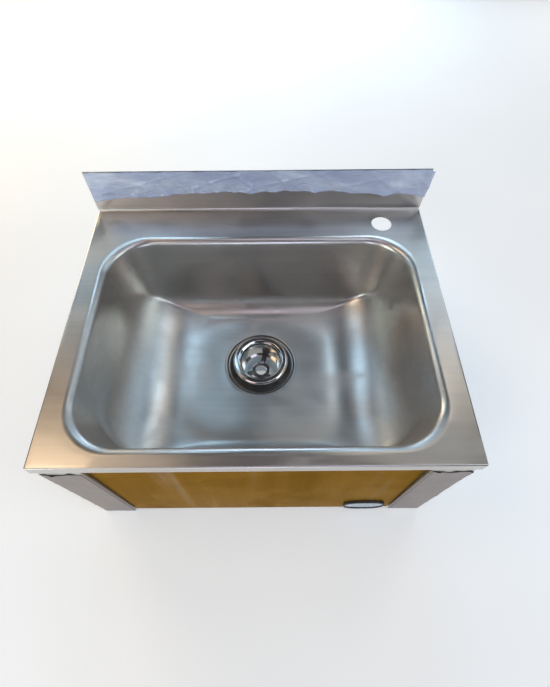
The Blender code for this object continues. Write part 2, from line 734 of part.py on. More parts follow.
def valve_pieces():
    """The self-closing valve: body, lock nut, button, its seal and its spring, on one axis."""
    centre = (0, 0, VALVE_Z)
    shoulder = SHEET + GAP
    hexagon = (VALVE_END + 0.002, VALVE_END + 0.008)
    body = [(-NECK_L, NECK_R), (shoulder, NECK_R), (shoulder, VALVE_R), (VALVE_END, VALVE_R),
            (hexagon[0], VALVE_AF / 2, 6), (hexagon[1], VALVE_AF / 2, 6), (hexagon[1], PORT_R),
            (JOINT_AT, PORT_R)]
    bore = [(-NECK_L, STEM_BORE), (CHAMBER[0], STEM_BORE), (CHAMBER[0], CHAMBER_R),
            (CHAMBER[1], CHAMBER_R), (CHAMBER[1], PORT_BORE), (JOINT_AT, PORT_BORE)]
    valve = turned("valve_body", centre, "Y", at_y(body), CHROME, at_y(bore))
    branch = (0, RAIL_Y + OUTLET_AT, VALVE_Z)
    out = turned("valve_outlet_stub", branch, "X", [(0.0145, PORT_R), (OUTLET_L, PORT_R)], CHROME)
    drill = turned("valve_outlet_drill", branch, "X", [(0.005, PORT_BORE), (OUTLET_L + 0.010, PORT_BORE)],
                   CHROME)
    boolean(valve, out, "UNION")
    boolean(valve, drill)
    nut = (-GAP - 0.0002 - 0.006, -GAP - 0.0002)
    turned("valve_locknut", centre, "Y", at_y([(s, 0.016, 6) for s in nut]), BRASS,
           at_y([(s, NECK_R + GAP) for s in nut]))
    tipped = (HINGE_Z - VALVE_Z) * math.tan(PANEL_LEAN)
    head = STRIKER_Y - RAIL_Y - tipped + GAP
    button = [(head, STEM_R), (head + 0.0015, BUTTON_R), (head + 0.0045, BUTTON_R),
              (head + 0.0045, STEM_R), (COLLAR[0], STEM_R), (COLLAR[0], COLLAR_R),
              (COLLAR[1], COLLAR_R), (COLLAR[1], STEM_R / 2), (STEM_END, STEM_R / 2)]
    turned("valve_button", centre, "Y", at_y(button), CHROME)
    seal = (CHAMBER[0] + 2 * GAP, COLLAR[0] - GAP)
    turned("button_seal", centre, "Y", at_y([(s, COLLAR_R - 0.0007) for s in seal]), RUBBER,
           at_y([(s, STEM_BORE) for s in seal]))
    valve_spring(COLLAR[1] + GAP, CHAMBER[1] - GAP)


def valve_spring(start, end):
    """The return spring, a helix of round wire between the button's collar and the body."""
    turns = 5
    per_turn = 14
    curve = bpy.data.curves.new("valve_spring", "CURVE")
    curve.dimensions = "3D"
    curve.bevel_depth = WIRE_R
    curve.bevel_resolution = 1
    curve.use_fill_caps = True
    line = curve.splines.new("POLY")
    total = turns * per_turn
    line.points.add(total)
    low = RAIL_Y + start + WIRE_R + GAP
    high = RAIL_Y + end - WIRE_R - GAP
    for i, point in enumerate(line.points):
        angle = 2 * math.pi * i / per_turn
        along = low + (high - low) * i / total
        point.co = (SPRING_R * math.cos(angle), along, SPRING_R * math.sin(angle), 1.0)
    curve.materials.append(material(ZINC))
    spring = bpy.data.objects.new("valve_spring", curve)
    spring.location = (0, 0, VALVE_Z)
    bpy.context.collection.objects.link(spring)


def mixer_pieces():
    """The mixing valve behind the self-closing valve: body, inlets, spindle, knob, union nut."""
    centre = (0, MIXER_Y, VALVE_Z)
    joint = RAIL_Y + JOINT_AT + GAP - MIXER_Y
    body = turned("mixer_body", centre, "Y", [(joint, PORT_R), (-MIXER_R - 0.002, PORT_R),
                                              (-MIXER_R - 0.002, MIXER_R), (MIXER_R, MIXER_R),
                                              (MIXER_R + 0.002, MIXER_R - 0.002)], CHROME)
    arms = turned("mixer_arms", centre, "X", [(-ARM_L, PORT_R), (ARM_L, PORT_R)], CHROME)
    boss = turned("mixer_boss", centre, "Z", [(-BOSS_L, BOSS_R), (0.0, BOSS_R)], CHROME)
    boolean(body, arms, "UNION")
    boolean(body, boss, "UNION")
    way = turned("mixer_way", centre, "Y", [(joint - 0.01, PORT_BORE), (PORT_BORE, PORT_BORE)], CHROME,
                 count=20)
    across = turned("mixer_across", centre, "X", [(-ARM_L - 0.012, PORT_BORE), (ARM_L + 0.012, PORT_BORE)],
                    CHROME, count=16)
    seat = turned("mixer_seat", centre, "Z", [(-BOSS_L - 0.024, SPINDLE_R + 0.0004),
                                              (0.004, SPINDLE_R + 0.0004)], CHROME, count=16)
    for tool in (way, across, seat):
        boolean(body, tool)
    nut = (joint - 0.0075, joint + 0.0025)
    turned("union_nut", centre, "Y", [(s, UNION_AF / 2, 6) for s in nut], BRASS,
           [(s, PORT_R + GAP) for s in nut])
    hexagon = (ARM_L - 0.007, ARM_L + 0.008)
    for label, side in (("hot", -1), ("cold", 1)):
        outside = [(hexagon[0], INLET_AF / 2, 6), (hexagon[1], INLET_AF / 2, 6), (hexagon[1], PORT_R),
                   (INLET_L, PORT_R)]
        bore = [(hexagon[0], PORT_R + GAP), (ARM_L + 0.0005, PORT_R + GAP), (ARM_L + 0.0005, PORT_BORE),
                (INLET_L, PORT_BORE)]
        if side < 0:
            outside = [(-s[0], *s[1:]) for s in reversed(outside)]
            bore = [(-s[0], *s[1:]) for s in reversed(bore)]
        turned(f"{label}_check_valve", centre, "X", outside, BRASS, bore)
    tip = BOSS_L + 0.007
    turned("mixer_spindle", centre, "Z", [(-tip, SPINDLE_R - 0.0006), (-BOSS_L - 0.0005, SPINDLE_R - 0.0006),
                                          (-BOSS_L - 0.0005, SPINDLE_R), (0.0030, SPINDLE_R)],
           BRASS, count=16)
    knob = [(-BOSS_L - 0.0160, KNOB_R - 0.0015, 8), (-BOSS_L - 0.0140, KNOB_R, 8),
            (-BOSS_L - 0.0035, KNOB_R, 8), (-BOSS_L - 0.0015, KNOB_R - 0.0015, 8)]
    bore = [(s, SPINDLE_R - GAP) for s in (-BOSS_L - 0.0160, -BOSS_L - 0.0015)]
    turned("temperature_knob", centre, "Z", knob, KNOB, bore)


# ---- waste ---------------------------------------------------------------------------------

def waste_pieces():
    """The waste outlet: chrome cup with its grate, seals, back nut and the plastic tail."""
    floor = BODY_H - BOWL_DEPTH - RECESS_DEPTH
    seat = floor + GAP + SEAL_H + GAP
    centre = (0, WASTE_Y, seat)
    top = 0.0055
    grate = top - GRATE_DROP
    under = floor - SHEET
    outside = [(grate - GRATE_T - 0.012, CUP_R), (0.0, CUP_R), (0.0, FLANGE_R - 0.002),
               (0.0015, FLANGE_R), (0.0035, FLANGE_R - 0.0005), (top, FLANGE_R - 0.004)]
    inside = [(grate - GRATE_T - 0.012, THROAT_R), (grate + 0.012, THROAT_R), (-0.004, THROAT_R + 0.0002),
              (0.0005, THROAT_R + 0.002), (0.0035, THROAT_R + 0.0055), (top, FLANGE_R - 0.006)]
    flange = turned("waste_flange", centre, "Z", outside, CHROME, inside, count=48)
    plate = turned("waste_grate", (0, WASTE_Y, seat + grate), "Z",
                   [(-GRATE_T, THROAT_R + 0.001), (0, THROAT_R + 0.001)], CHROME,
                   [(-GRATE_T, THROAT_R - 0.003), (0, THROAT_R - 0.003)], count=48)
    hub = turned("waste_hub", (0, WASTE_Y, seat + grate), "Z", [(-GRATE_T, HUB_R), (0, HUB_R)], CHROME,
                 [(-GRATE_T, HUB_HOLE_R), (0, HUB_HOLE_R)], count=32)
    boolean(flange, plate, "UNION")
    boolean(flange, hub, "UNION")
    for k in range(3):
        bm = bmesh.new()
        add_box(bm, (-ARM_W / 2, (HUB_R + HUB_HOLE_R) / 2, -GRATE_T), (ARM_W / 2, THROAT_R - 0.001, 0))
        turn = Matrix.Rotation(-ARM_TURN - k * 2 * math.pi / 3, 3, "Z")
        bmesh.ops.rotate(bm, verts=bm.verts, matrix=turn)
        bmesh.ops.translate(bm, verts=bm.verts, vec=(0, WASTE_Y, seat + grate))
        boolean(flange, piece(f"waste_arm_{k}", bm, CHROME), "UNION")
    turned("waste_seal", (0, WASTE_Y, floor + GAP), "Z", [(0, SEAL_R), (SEAL_H * 0.35, SEAL_R - 0.0005),
                                                         (SEAL_H, FLANGE_R - 0.003)], RUBBER,
           [(0, CUP_R + GAP), (SEAL_H, CUP_R + GAP)], count=48)
    low = under - GAP
    turned("lower_seal", (0, WASTE_Y, low), "Z", [(-LOWER_SEAL_H, CUP_R + 0.010), (0, CUP_R + 0.010)],
           RUBBER, [(-LOWER_SEAL_H, CUP_R + GAP), (0, CUP_R + GAP)], count=48)
    nut_top = low - LOWER_SEAL_H - GAP
    nut_r = CUP_R + 0.007
    turned("waste_backnut", (0, WASTE_Y, nut_top), "Z", [(-0.009, nut_r, 8), (0, nut_r, 8)], ZINC,
           [(-0.009, CUP_R + GAP), (0, CUP_R + GAP)], count=48)
    end = seat + grate - GRATE_T - GAP
    tail_out = [(-TAIL_L, TAIL_R), (-0.016, TAIL_R), (-0.0125, CUP_R - 0.0035), (0, THROAT_R - GAP)]
    tail_in = [(-TAIL_L, TAIL_BORE_R), (-0.012, TAIL_BORE_R), (0, THROAT_R - 0.0035)]
    turned("waste_tail", (0, WASTE_Y, end), "Z", tail_out, WHITE, tail_in, count=48)


def clear_scene():
    for obj in list(bpy.data.objects):
        bpy.data.objects.remove(obj, do_unlink=True)


def build():
    clear_scene()
    basin_top()
    splash_film()
    for prefix, side in (("left", -1), ("right", 1)):
        side_panel(f"{prefix}_side_panel", side)
        panel_film(f"{prefix}_panel_film", side)
        side_nuts(prefix, side)
        hinge_hardware(prefix, side)
        stop_buffer(f"{prefix}_stop_buffer", side)
    front_rail()
    rear_rail("top_rail", TOP_RAIL_Z)
    rear_rail("bottom_rail", BOTTOM_RAIL_Z)
    valve_rail()
    knee_panel()
    striker_block()
    push_badge()
    valve_pieces()
    mixer_pieces()
    waste_pieces()


build()
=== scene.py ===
"""The look of a knee-operated hand wash basin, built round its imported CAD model.

Metres, +Z up, +Y towards the wall.  The basin stands on the floor at z = 0.
"""

import math

import bmesh
import bpy
import numpy as np
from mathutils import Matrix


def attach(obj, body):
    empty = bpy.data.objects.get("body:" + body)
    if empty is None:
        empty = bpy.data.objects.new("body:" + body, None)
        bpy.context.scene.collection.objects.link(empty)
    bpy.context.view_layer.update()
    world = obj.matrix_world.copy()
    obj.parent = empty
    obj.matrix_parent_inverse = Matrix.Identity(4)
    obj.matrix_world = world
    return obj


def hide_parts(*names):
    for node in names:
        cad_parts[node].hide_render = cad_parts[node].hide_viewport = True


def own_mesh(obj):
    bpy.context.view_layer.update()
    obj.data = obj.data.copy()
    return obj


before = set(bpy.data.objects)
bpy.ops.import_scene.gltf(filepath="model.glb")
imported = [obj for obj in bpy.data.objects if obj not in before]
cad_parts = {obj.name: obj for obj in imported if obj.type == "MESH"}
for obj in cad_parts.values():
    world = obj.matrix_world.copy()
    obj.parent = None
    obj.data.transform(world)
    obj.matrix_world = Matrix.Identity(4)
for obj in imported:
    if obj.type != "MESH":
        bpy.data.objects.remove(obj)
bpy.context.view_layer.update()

# Sizes shared with the CAD model, in metres
DECK_HALF = 0.250
FRONT, BACK = -0.200, 0.200
DECK_Z = 0.255
UPSTAND = 0.070
SHEET = 0.0012
GAP = 0.0003
DROP = 0.015
BEND = 0.002
COVE = 0.003
RIM_HALF_W, RIM_HALF_D = 0.226, 0.163
RIM_CORNER, FLOOR_CORNER = 0.062, 0.048
RIM_R = 0.010
BOWL_Y = FRONT + 0.015 + RIM_HALF_D
BOWL_DEPTH, FLOOR_FALL = 0.135, 0.003
SIDE_FLOOR_R, END_FLOOR_R = 0.100, 0.034
WALL_SLOPE = math.radians(10.5)
WASTE_Y = FRONT + 0.199
RECESS_R, RECESS_DEPTH, HOLE_R = 0.0515, 0.003, 0.033
TAP_X, TAP_Y, TAP_R = 0.186, FRONT + 0.365, 0.015
SIDE_X, FLANGE_W, FLANGE_Y = 0.2465, 0.048, FRONT + 0.002
RETURN_L, LIP = 0.0165, 0.015
HINGE_Y, HINGE_Z = FRONT + 0.0125, DECK_Z - 0.038
LEAN = math.radians(0.6)
PANEL_Y, PANEL_HALF, PANEL_DEEP = FRONT + 0.006, 0.197, 0.018958
PANEL_TOP, PANEL_FOOT = DECK_Z - 0.029, 0.003
RAIL_Y = FRONT + 0.045
VALVE_Z = 0.070
STRIKER_Y = FRONT + 0.0185
SEAT_Z = 0.1276
THROAT_R, CUP_R, FLANGE_R = 0.029, 0.031, 0.043
GRATE_Z, GRATE_T = SEAT_Z + 0.0055 - 0.036, 0.003
BADGE_X, BADGE_Z = 0.156, 0.026


# ---- surfaces ------------------------------------------------------------------------------

def quads_of(rows, columns, wrap, first):
    """Corner numbers of every face of a grid, row by row, counted from point number `first`."""
    r = np.arange(rows - 1)[:, None]
    c = np.arange(columns if wrap else columns - 1)[None, :]
    ahead = (c + 1) % columns
    corners = (r * columns + c, r * columns + ahead, (r + 1) * columns + ahead, (r + 1) * columns + c)
    return np.stack(corners, axis=-1).reshape(-1, 4) + first


def piece(name, grids, finish, body, replaces=(), outward=None, wrap=False, sharp=40, keep=None):
    """Sew grids of points (rows, columns, 3) into one mesh and hang it on a CAD body.

    Points that meet are joined.  An open sheet is turned so that most of it looks `outward`, and a
    closed shell is turned outwards by itself.  `keep` marks the faces of the grids that stay.
    """
    wraps = [wrap] * len(grids) if isinstance(wrap, bool) else wrap
    faces, first = [], 0
    for grid, closed in zip(grids, wraps):
        faces.append(quads_of(*grid.shape[:2], closed, first))
        first += grid.shape[0] * grid.shape[1]
    faces = np.concatenate(faces)
    if keep is not None:
        faces = faces[keep]
    mesh = bpy.data.meshes.new(name)
    mesh.from_pydata(np.concatenate([g.reshape(-1, 3) for g in grids]).tolist(), [], faces.tolist())
    bm = bmesh.new()
    bm.from_mesh(mesh)
    bmesh.ops.remove_doubles(bm, verts=bm.verts, dist=3e-6)
    bmesh.ops.recalc_face_normals(bm, faces=bm.faces)
    bm.to_mesh(mesh)
    bm.free()
    if outward is not None:
        count = len(mesh.polygons)
        normals, areas = np.empty(count * 3), np.empty(count)
        mesh.polygons.foreach_get("normal", normals)
        mesh.polygons.foreach_get("area", areas)
        if (normals.reshape(-1, 3) * areas[:, None]).sum(0) @ np.array(outward, float) < 0:
            mesh.flip_normals()
    mesh.shade_smooth()
    mesh.set_sharp_from_angle(angle=math.radians(sharp))
    mesh.materials.append(finish)
    made = bpy.data.objects.new(name, mesh)
    bpy.context.collection.objects.link(made)
    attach(made, body)
    if replaces:
        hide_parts(*replaces)
    return made


def thicken(made, thickness, side=-1):
    """Give a sheet its wall, on the side away from its faces or, with side 0, on both."""
    step = made.modifiers.new("wall", "SOLIDIFY")
    step.thickness = thickness
    step.offset = side
    step.use_even_offset = True
    step.use_quality_normals = True
    return made


def soften(made, width, steps=2, angle=40):
    """Break the edges that are sharper than the angle."""
    step = made.modifiers.new("edges", "BEVEL")
    step.width = width
    step.segments = steps
    step.limit_method = "ANGLE"
    step.angle_limit = math.radians(angle)
    step.harden_normals = False
    return made


def apply_steps(made):
    """Turn a piece's modifiers into its mesh."""
    bpy.context.view_layer.update()
    seen = made.evaluated_get(bpy.context.evaluated_depsgraph_get())
    mesh = bpy.data.meshes.new_from_object(seen)
    made.modifiers.clear()
    made.data = mesh
    return made


def smooth_step(t):
    """3 t^2 - 2 t^3 between 0 and 1."""
    t = np.clip(t, 0, 1)
    return t * t * (3 - 2 * t)


def rounded_line(corners, radii, steps=4):
    """A line through the corners (n, 2) with each inner corner turned into an arc.

    The arc is tangent to both legs: it starts and ends r tan(turn / 2) from the corner, and its
    points are the centre plus r times the unit vector that swings from one leg's normal to the other's.
    """
    p = np.asarray(corners, float)
    radii = np.broadcast_to(radii, len(p) - 2)
    runs = [p[:1]]
    for a, b, c, r in zip(p, p[1:], p[2:], radii):
        into, out = (b - a) / np.linalg.norm(b - a), (c - b) / np.linalg.norm(c - b)
        turn = math.atan2(into[0] * out[1] - into[1] * out[0], into @ out)
        if abs(turn) < 1e-6 or r <= 0:
            runs.append(b[None])
            continue
        left = math.copysign(1, turn)
        centre = b - into * r * abs(math.tan(turn / 2)) + left * r * np.array([-into[1], into[0]])
        start = math.atan2(-left * into[0], left * into[1])
        angle = start + turn * np.linspace(0, 1, steps + 1)
        runs.append(centre + r * np.stack([np.cos(angle), np.sin(angle)], axis=-1))
    runs.append(p[-1:])
    return np.concatenate(runs)


def denser(line, longest):
    """Split each leg of a line evenly so that no part is longer than `longest`."""
    line = np.asarray(line, float)
    counts = np.maximum(1, np.ceil(np.linalg.norm(np.diff(line, axis=0), axis=1) / longest)).astype(int)
    runs = [a + (b - a) * (np.arange(n) / n)[:, None] for a, b, n in zip(line, line[1:], counts)]
    return np.concatenate(runs + [line[-1:]])


def swept(profile, stations, axes="XYZ"):
    """A flat profile (n, 2) carried along a straight path: point (i, j) is profile i at station j.

    axes names what the profile's two numbers and the station mean, such as "XYZ" or "YZX".
    """
    profile, stations = np.asarray(profile, float), np.asarray(stations, float)
    out = np.empty((len(profile), len(stations), 3))
    out[..., "XYZ".index(axes[0])] = profile[:, :1]
    out[..., "XYZ".index(axes[1])] = profile[:, 1:]
    out[..., "XYZ".index(axes[2])] = stations[None, :]
    return out


def onto(axis, points, centre):
    """Turn points drawn round +Z so that +Z lies along the named axis, and put them at the centre."""
    x, y, z = points[..., 0], points[..., 1], points[..., 2]
    turned_to = {"X": (z, y, -x), "Y": (x, z, -y), "Z": (x, y, z)}[axis]
    return np.stack(turned_to, axis=-1) + np.array(centre, float)


def lathe(profile, axis, centre, count=48, flats=None, thread=None, lobes=None):
    """A profile of (distance, radius) turned round an axis: a closed profile gives a closed shell.

    x = r cos(a), y = r sin(a), z = distance.  flats = (sides, reach, low, high) cuts r down to
    reach / cos(angle from the middle of a flat) between two distances.  thread = (pitch, depth,
    low, high, core) adds depth times a triangle wave of (distance / pitch - a / full turn), faded
    at both ends, where r is over `core`.  lobes = (number, depth, low, high, core) takes away depth
    times |cos(number a / 2)|^6 in the same way, which leaves ribs.
    """
    profile = np.asarray(profile, float)
    angle = 2 * np.pi * np.arange(count) / count
    z = np.repeat(profile[:, :1], count, 1)
    r = np.repeat(profile[:, 1:], count, 1)
    a = np.broadcast_to(angle, r.shape)
    if thread:
        pitch, depth, low, high, core = thread
        wave = np.abs(((z / pitch - a / (2 * np.pi)) % 1) * 2 - 1) - 0.5
        fade = smooth_step((z - low) / pitch) * smooth_step((high - z) / pitch)
        r = r + depth * wave * fade * (r > core)
    if lobes:
        number, depth, low, high, core = lobes
        fade = smooth_step((z - low) / 0.0008) * smooth_step((high - z) / 0.0008)
        r = r - depth * np.abs(np.cos(number * a / 2)) ** 6 * fade * (r > core)
    if flats:
        sides, reach, low, high = flats
        part = 2 * np.pi / sides
        limit = reach / np.cos((a + part / 2) % part - part / 2)
        r = np.where((z >= low - 1e-7) & (z <= high + 1e-7), np.minimum(r, limit), r)
    return onto(axis, np.stack([r * np.cos(a), r * np.sin(a), z], axis=-1), centre)


def closed_profile(corners, radius=0.0003, steps=3, longest=0.01):
    """A closed profile of (distance, radius) with its corners rounded and its long legs split."""
    p = np.asarray(corners, float)
    middle = (p[0] + p[1]) / 2
    line = rounded_line(np.concatenate([[middle], p[1:], p[:1], [middle]]), radius, steps)
    return denser(line, longest)


def nut_profile(low, high, af, bore, chamfer=0.0004):
    """A nut before its flats are cut: chamfered at 30 degrees outside and countersunk inside."""
    reach = af / math.sqrt(3)
    edge = reach - af / 2 * 0.98
    return closed_profile([(low + edge * 0.577, reach), (high - edge * 0.577, reach),
                           (high, af / 2 * 0.98), (high, bore + chamfer), (high - chamfer, bore),
                           (low + chamfer, bore), (low, bore + chamfer), (low, af / 2 * 0.98)],
                          0.00012, 2, 0.0012)


def drilled(made, axis, place, radius, reach, count):
    """Cut a round hole through a finished sheet, with a bit turned on the hole's axis."""
    bit = lathe([(-reach, 0.0), (-reach, radius), (reach, radius), (reach, 0.0)], axis, place, count)
    mesh = bpy.data.meshes.new("drill")
    mesh.from_pydata(bit.reshape(-1, 3).tolist(), [], quads_of(4, count, True, 0).tolist())
    bm = bmesh.new()
    bm.from_mesh(mesh)
    bmesh.ops.remove_doubles(bm, verts=bm.verts, dist=1e-6)
    bmesh.ops.recalc_face_normals(bm, faces=bm.faces)
    bm.to_mesh(mesh)
    bm.free()
    tool = bpy.data.objects.new("drill", mesh)
    bpy.context.collection.objects.link(tool)
    cut = made.modifiers.new("hole", "BOOLEAN")
    cut.object, cut.operation, cut.solver = tool, "DIFFERENCE", "EXACT"
    apply_steps(made)
    made.data.set_sharp_from_angle(angle=math.radians(40))
    bpy.data.objects.remove(tool, do_unlink=True)
    return made


def lean(points):
    """Tip points of the knee panel about its hinge, so that the panel's foot stands forward."""
    c, s = math.cos(-LEAN), math.sin(-LEAN)
    y, z = points[..., 1] - HINGE_Y, points[..., 2] - HINGE_Z
    return np.stack([points[..., 0], HINGE_Y + c * y - s * z, HINGE_Z + s * y + c * z], axis=-1)


# ---- finishes ------------------------------------------------------------------------------

class Finish:
    """A Principled material whose patterns read the piece's own Object coordinates, in metres."""

    def __init__(self, name, metallic=0.0, **sockets):
        self.made = bpy.data.materials.new(name)
        self.made.use_nodes = True
        self.tree = self.made.node_tree
        self.shader = self.tree.nodes["Principled BSDF"]
        self.shader.inputs["Metallic"].default_value = metallic
        for socket, value in sockets.items():
            self.shader.inputs[socket.replace("_", " ")].default_value = value
        self.place = self.tree.nodes.new("ShaderNodeTexCoord").outputs["Object"]

    def link(self, source, target):
        self.tree.links.new(source, target)

    def node(self, kind, settings=(), **inputs):
        made = self.tree.nodes.new(kind)
        for key, value in dict(settings).items():
            setattr(made, key, value)
        for key, value in inputs.items():
            socket = made.inputs[int(key[1:])] if key[0] == "i" and key[1:].isdigit() else made.inputs[key]
            if isinstance(value, bpy.types.NodeSocket):
                self.link(value, socket)
            else:
                socket.default_value = value
        return made

    def stretched(self, scale, turn=(0, 0, 0), shift=(0, 0, 0)):
        """Object coordinates turned and multiplied, which stretches a pattern along the small axes."""
        made = self.node("ShaderNodeMapping", Vector=self.place)
        made.inputs["Scale"].default_value = scale
        made.inputs["Rotation"].default_value = turn
        made.inputs["Location"].default_value = shift
        return made.outputs[0]

    def noise(self, scale, detail=4, rough=0.55, turn=(0, 0, 0), shift=(0, 0, 0), distortion=0.0):
        scale = (scale,) * 3 if isinstance(scale, (int, float)) else scale
        made = self.node("ShaderNodeTexNoise", Vector=self.stretched(scale, turn, shift), Scale=1.0,
                         Detail=detail, Roughness=rough, Distortion=distortion)
        return made.outputs["Fac"]

    def ramp(self, fac, stops, smooth=False):
        """A colour or a number at each stop, read by a value between 0 and 1."""
        made = self.node("ShaderNodeValToRGB", Fac=fac)
        line = made.color_ramp
        line.interpolation = "EASE" if smooth else "LINEAR"
        while len(line.elements) < len(stops):
            line.elements.new(0.5)
        for element, (at, value) in zip(line.elements, stops):
            element.position = at
            element.color = (value,) * 3 + (1,) if isinstance(value, (int, float)) else (*value, 1)
        return made.outputs["Color"]

    def sum(self, a, b, kind="ADD", clamp=False):
        made = self.node("ShaderNodeMath", {"operation": kind, "use_clamp": clamp}, i0=a, i1=b)
        return made.outputs[0]

    def mix(self, fac, a, b, kind="MIX"):
        made = self.node("ShaderNodeMix", {"data_type": "RGBA", "blend_type": kind})
        for socket, value in ((made.inputs[0], fac), (made.inputs[6], a), (made.inputs[7], b)):
            if isinstance(value, bpy.types.NodeSocket):
                self.link(value, socket)
            else:
                socket.default_value = value if isinstance(value, (int, float)) else (*value, 1)
        return made.outputs[2]

    def part(self, letter):
        """One of the three Object coordinates, in metres."""
        made = self.node("ShaderNodeSeparateXYZ", Vector=self.place)
        return made.outputs[letter]

    def near(self, value, middle, width):
        """1 where the value is within the width of the middle, falling softly to 0 outside."""
        away = self.node("ShaderNodeMath", {"operation": "SUBTRACT"}, i0=value, i1=middle).outputs[0]
        away = self.node("ShaderNodeMath", {"operation": "ABSOLUTE"}, i0=away).outputs[0]
        made = self.node("ShaderNodeMapRange", {"interpolation_type": "SMOOTHSTEP"}, Value=away)
        made.inputs["From Min"].default_value = width
        made.inputs["From Max"].default_value = width * 0.4
        return made.outputs[0]

    def colour(self, value):
        self.link(value, self.shader.inputs["Base Color"])

    def rough(self, value):
        self.link(value, self.shader.inputs["Roughness"])

    def bump(self, height, distance, strength=1.0, under=None):
        made = self.node("ShaderNodeBump", Height=height)
        made.inputs["Distance"].default_value = distance
        made.inputs["Strength"].default_value = strength
        if under is not None:
            self.link(under, made.inputs["Normal"])
        self.link(made.outputs[0], self.shader.inputs["Normal"])
        return made.outputs[0]


def scaled(colour, k):
    return tuple(min(1.0, c * k) for c in colour)


def satin_steel(name, colour, grain, rough=0.30, smudge=0.10, marks=True, painted_reflection_bands=0.0, **settings):
    """Brushed stainless steel: streaks along the grain, cloudy wiping marks, specks and fine scratches.

    grain is how much the pattern is multiplied along x, y and z, so the small number is the way
    that the brushing runs.  painted_reflection_bands is the share of broad upright streaks of painted
    reflection: lighter and darker bands that stand in for reflected light.
    """
    f = Finish(name, metallic=1.0, **settings)
    streak = f.noise(grain, 3, 0.6)
    broad = f.noise(tuple(g * 0.16 for g in grain), 2, 0.5, shift=(3, 1, 7))
    cloud = f.noise(9, 5, 0.6, distortion=0.6)
    tone = f.ramp(streak, [(0.30, scaled(colour, 0.94)), (0.70, scaled(colour, 1.05))])
    tone = f.mix(0.5, tone, f.ramp(broad, [(0.30, scaled(colour, 0.92)), (0.70, scaled(colour, 1.06))]))
    # Painted reflection: broad upright lighter, darker and grey streaks stand in for reflected highlights and
    # shade on the steel.
    if painted_reflection_bands:
        reflection_shades = [(0.34, scaled(colour, 0.62)), (0.56, scaled(colour, 1.35)), (0.68, (0.40, 0.38, 0.36))]
        wide = f.ramp(f.noise((24, 24, 1.2), 3, 0.6, shift=(1, 4, 2)), reflection_shades)
        tone = f.mix(painted_reflection_bands, tone, wide)
    wiped = f.ramp(cloud, [(0.42, 0.0), (0.62, 1.0)], smooth=True)
    tone = f.mix(f.sum(wiped, 0.16, "MULTIPLY"), tone, (0.78, 0.72, 0.66), "MULTIPLY")
    base = f.ramp(streak, [(0.2, rough - 0.03), (0.8, rough + 0.04)])
    level = f.sum(base, f.sum(wiped, smudge, "MULTIPLY"))
    height = f.sum(streak, f.sum(broad, 0.6, "MULTIPLY"))
    if marks:
        scratch = f.noise((260, 14, 60), 1, 0.3, turn=(0, 0, 0.7), shift=(2, 5, 1))
        thin = f.ramp(scratch, [(0.735, 0.0), (0.75, 1.0)])
        level = f.sum(level, f.sum(thin, 0.05, "MULTIPLY"))
        speck = f.node("ShaderNodeTexVoronoi", Vector=f.stretched((95,) * 3), Scale=1.0)
        dust = f.ramp(speck.outputs["Distance"], [(0.045, 1.0), (0.075, 0.0)])
        rare = f.ramp(f.noise(23, 2, 0.5, shift=(9, 4, 2)), [(0.56, 0.0), (0.60, 1.0)])
        dust = f.sum(dust, rare, "MULTIPLY")
        tone = f.mix(f.sum(dust, 0.55, "MULTIPLY"), tone, (0.86, 0.84, 0.80))
        level = f.sum(level, f.sum(dust, 0.25, "MULTIPLY"))
    f.colour(tone)
    f.rough(level)
    f.bump(height, 0.000007)
    return f.made


# ---- camera, floor and lights --------------------------------------------------------------

def camera():
    """Looks down on the basin from the front, nearly upright in the frame."""
    data = bpy.data.cameras.new("camera")
    data.lens = 22.288
    data.sensor_width = 36.0
    data.shift_x = 0.00406
    data.shift_y = -0.00808
    data.clip_start = 0.01
    made = bpy.data.objects.new("camera", data)
    made.location = (0.01948, -0.32014, 0.71477)
    made.rotation_euler = [math.radians(a) for a in (31.60685, 0.33575, -0.40406)]
    bpy.context.collection.objects.link(made)
    bpy.context.scene.camera = made


def floor():
    """A plain pale floor."""
    f = Finish("pale_floor", metallic=0.0, Roughness=0.9)
    f.colour(f.ramp(f.noise(3, 3), [(0.3, (0.90, 0.90, 0.90)), (0.7, (0.94, 0.94, 0.94))]))
    f.shader.inputs["Emission Color"].default_value = (1, 1, 1, 1)
    f.shader.inputs["Emission Strength"].default_value = 0.25
    reach = np.linspace(-6, 6, 5)
    mesh = bpy.data.meshes.new("floor")
    grid = swept(np.stack([reach, 0 * reach], axis=-1), reach, "XZY")
    mesh.from_pydata(grid.reshape(-1, 3).tolist(), [], quads_of(5, 5, False, 0)[:, ::-1].tolist())
    mesh.materials.append(f.made)
    made = bpy.data.objects.new("floor", mesh)
    bpy.context.collection.objects.link(made)


def softbox(name, place, aim, size, power, colour):
    """A soft square light at a place, looking at a point."""
    data = bpy.data.lights.new(name, "AREA")
    data.shape = "RECTANGLE"
    data.size, data.size_y = size
    data.energy = power
    data.color = colour
    made = bpy.data.objects.new(name, data)
    made.location = place
    away = np.array(place, float) - np.array(aim, float)
    flat = math.hypot(away[0], away[1])
    made.rotation_euler = (math.atan2(flat, away[2]), 0, math.atan2(away[0], -away[1]))
    made.visible_camera = False
    bpy.context.collection.objects.link(made)


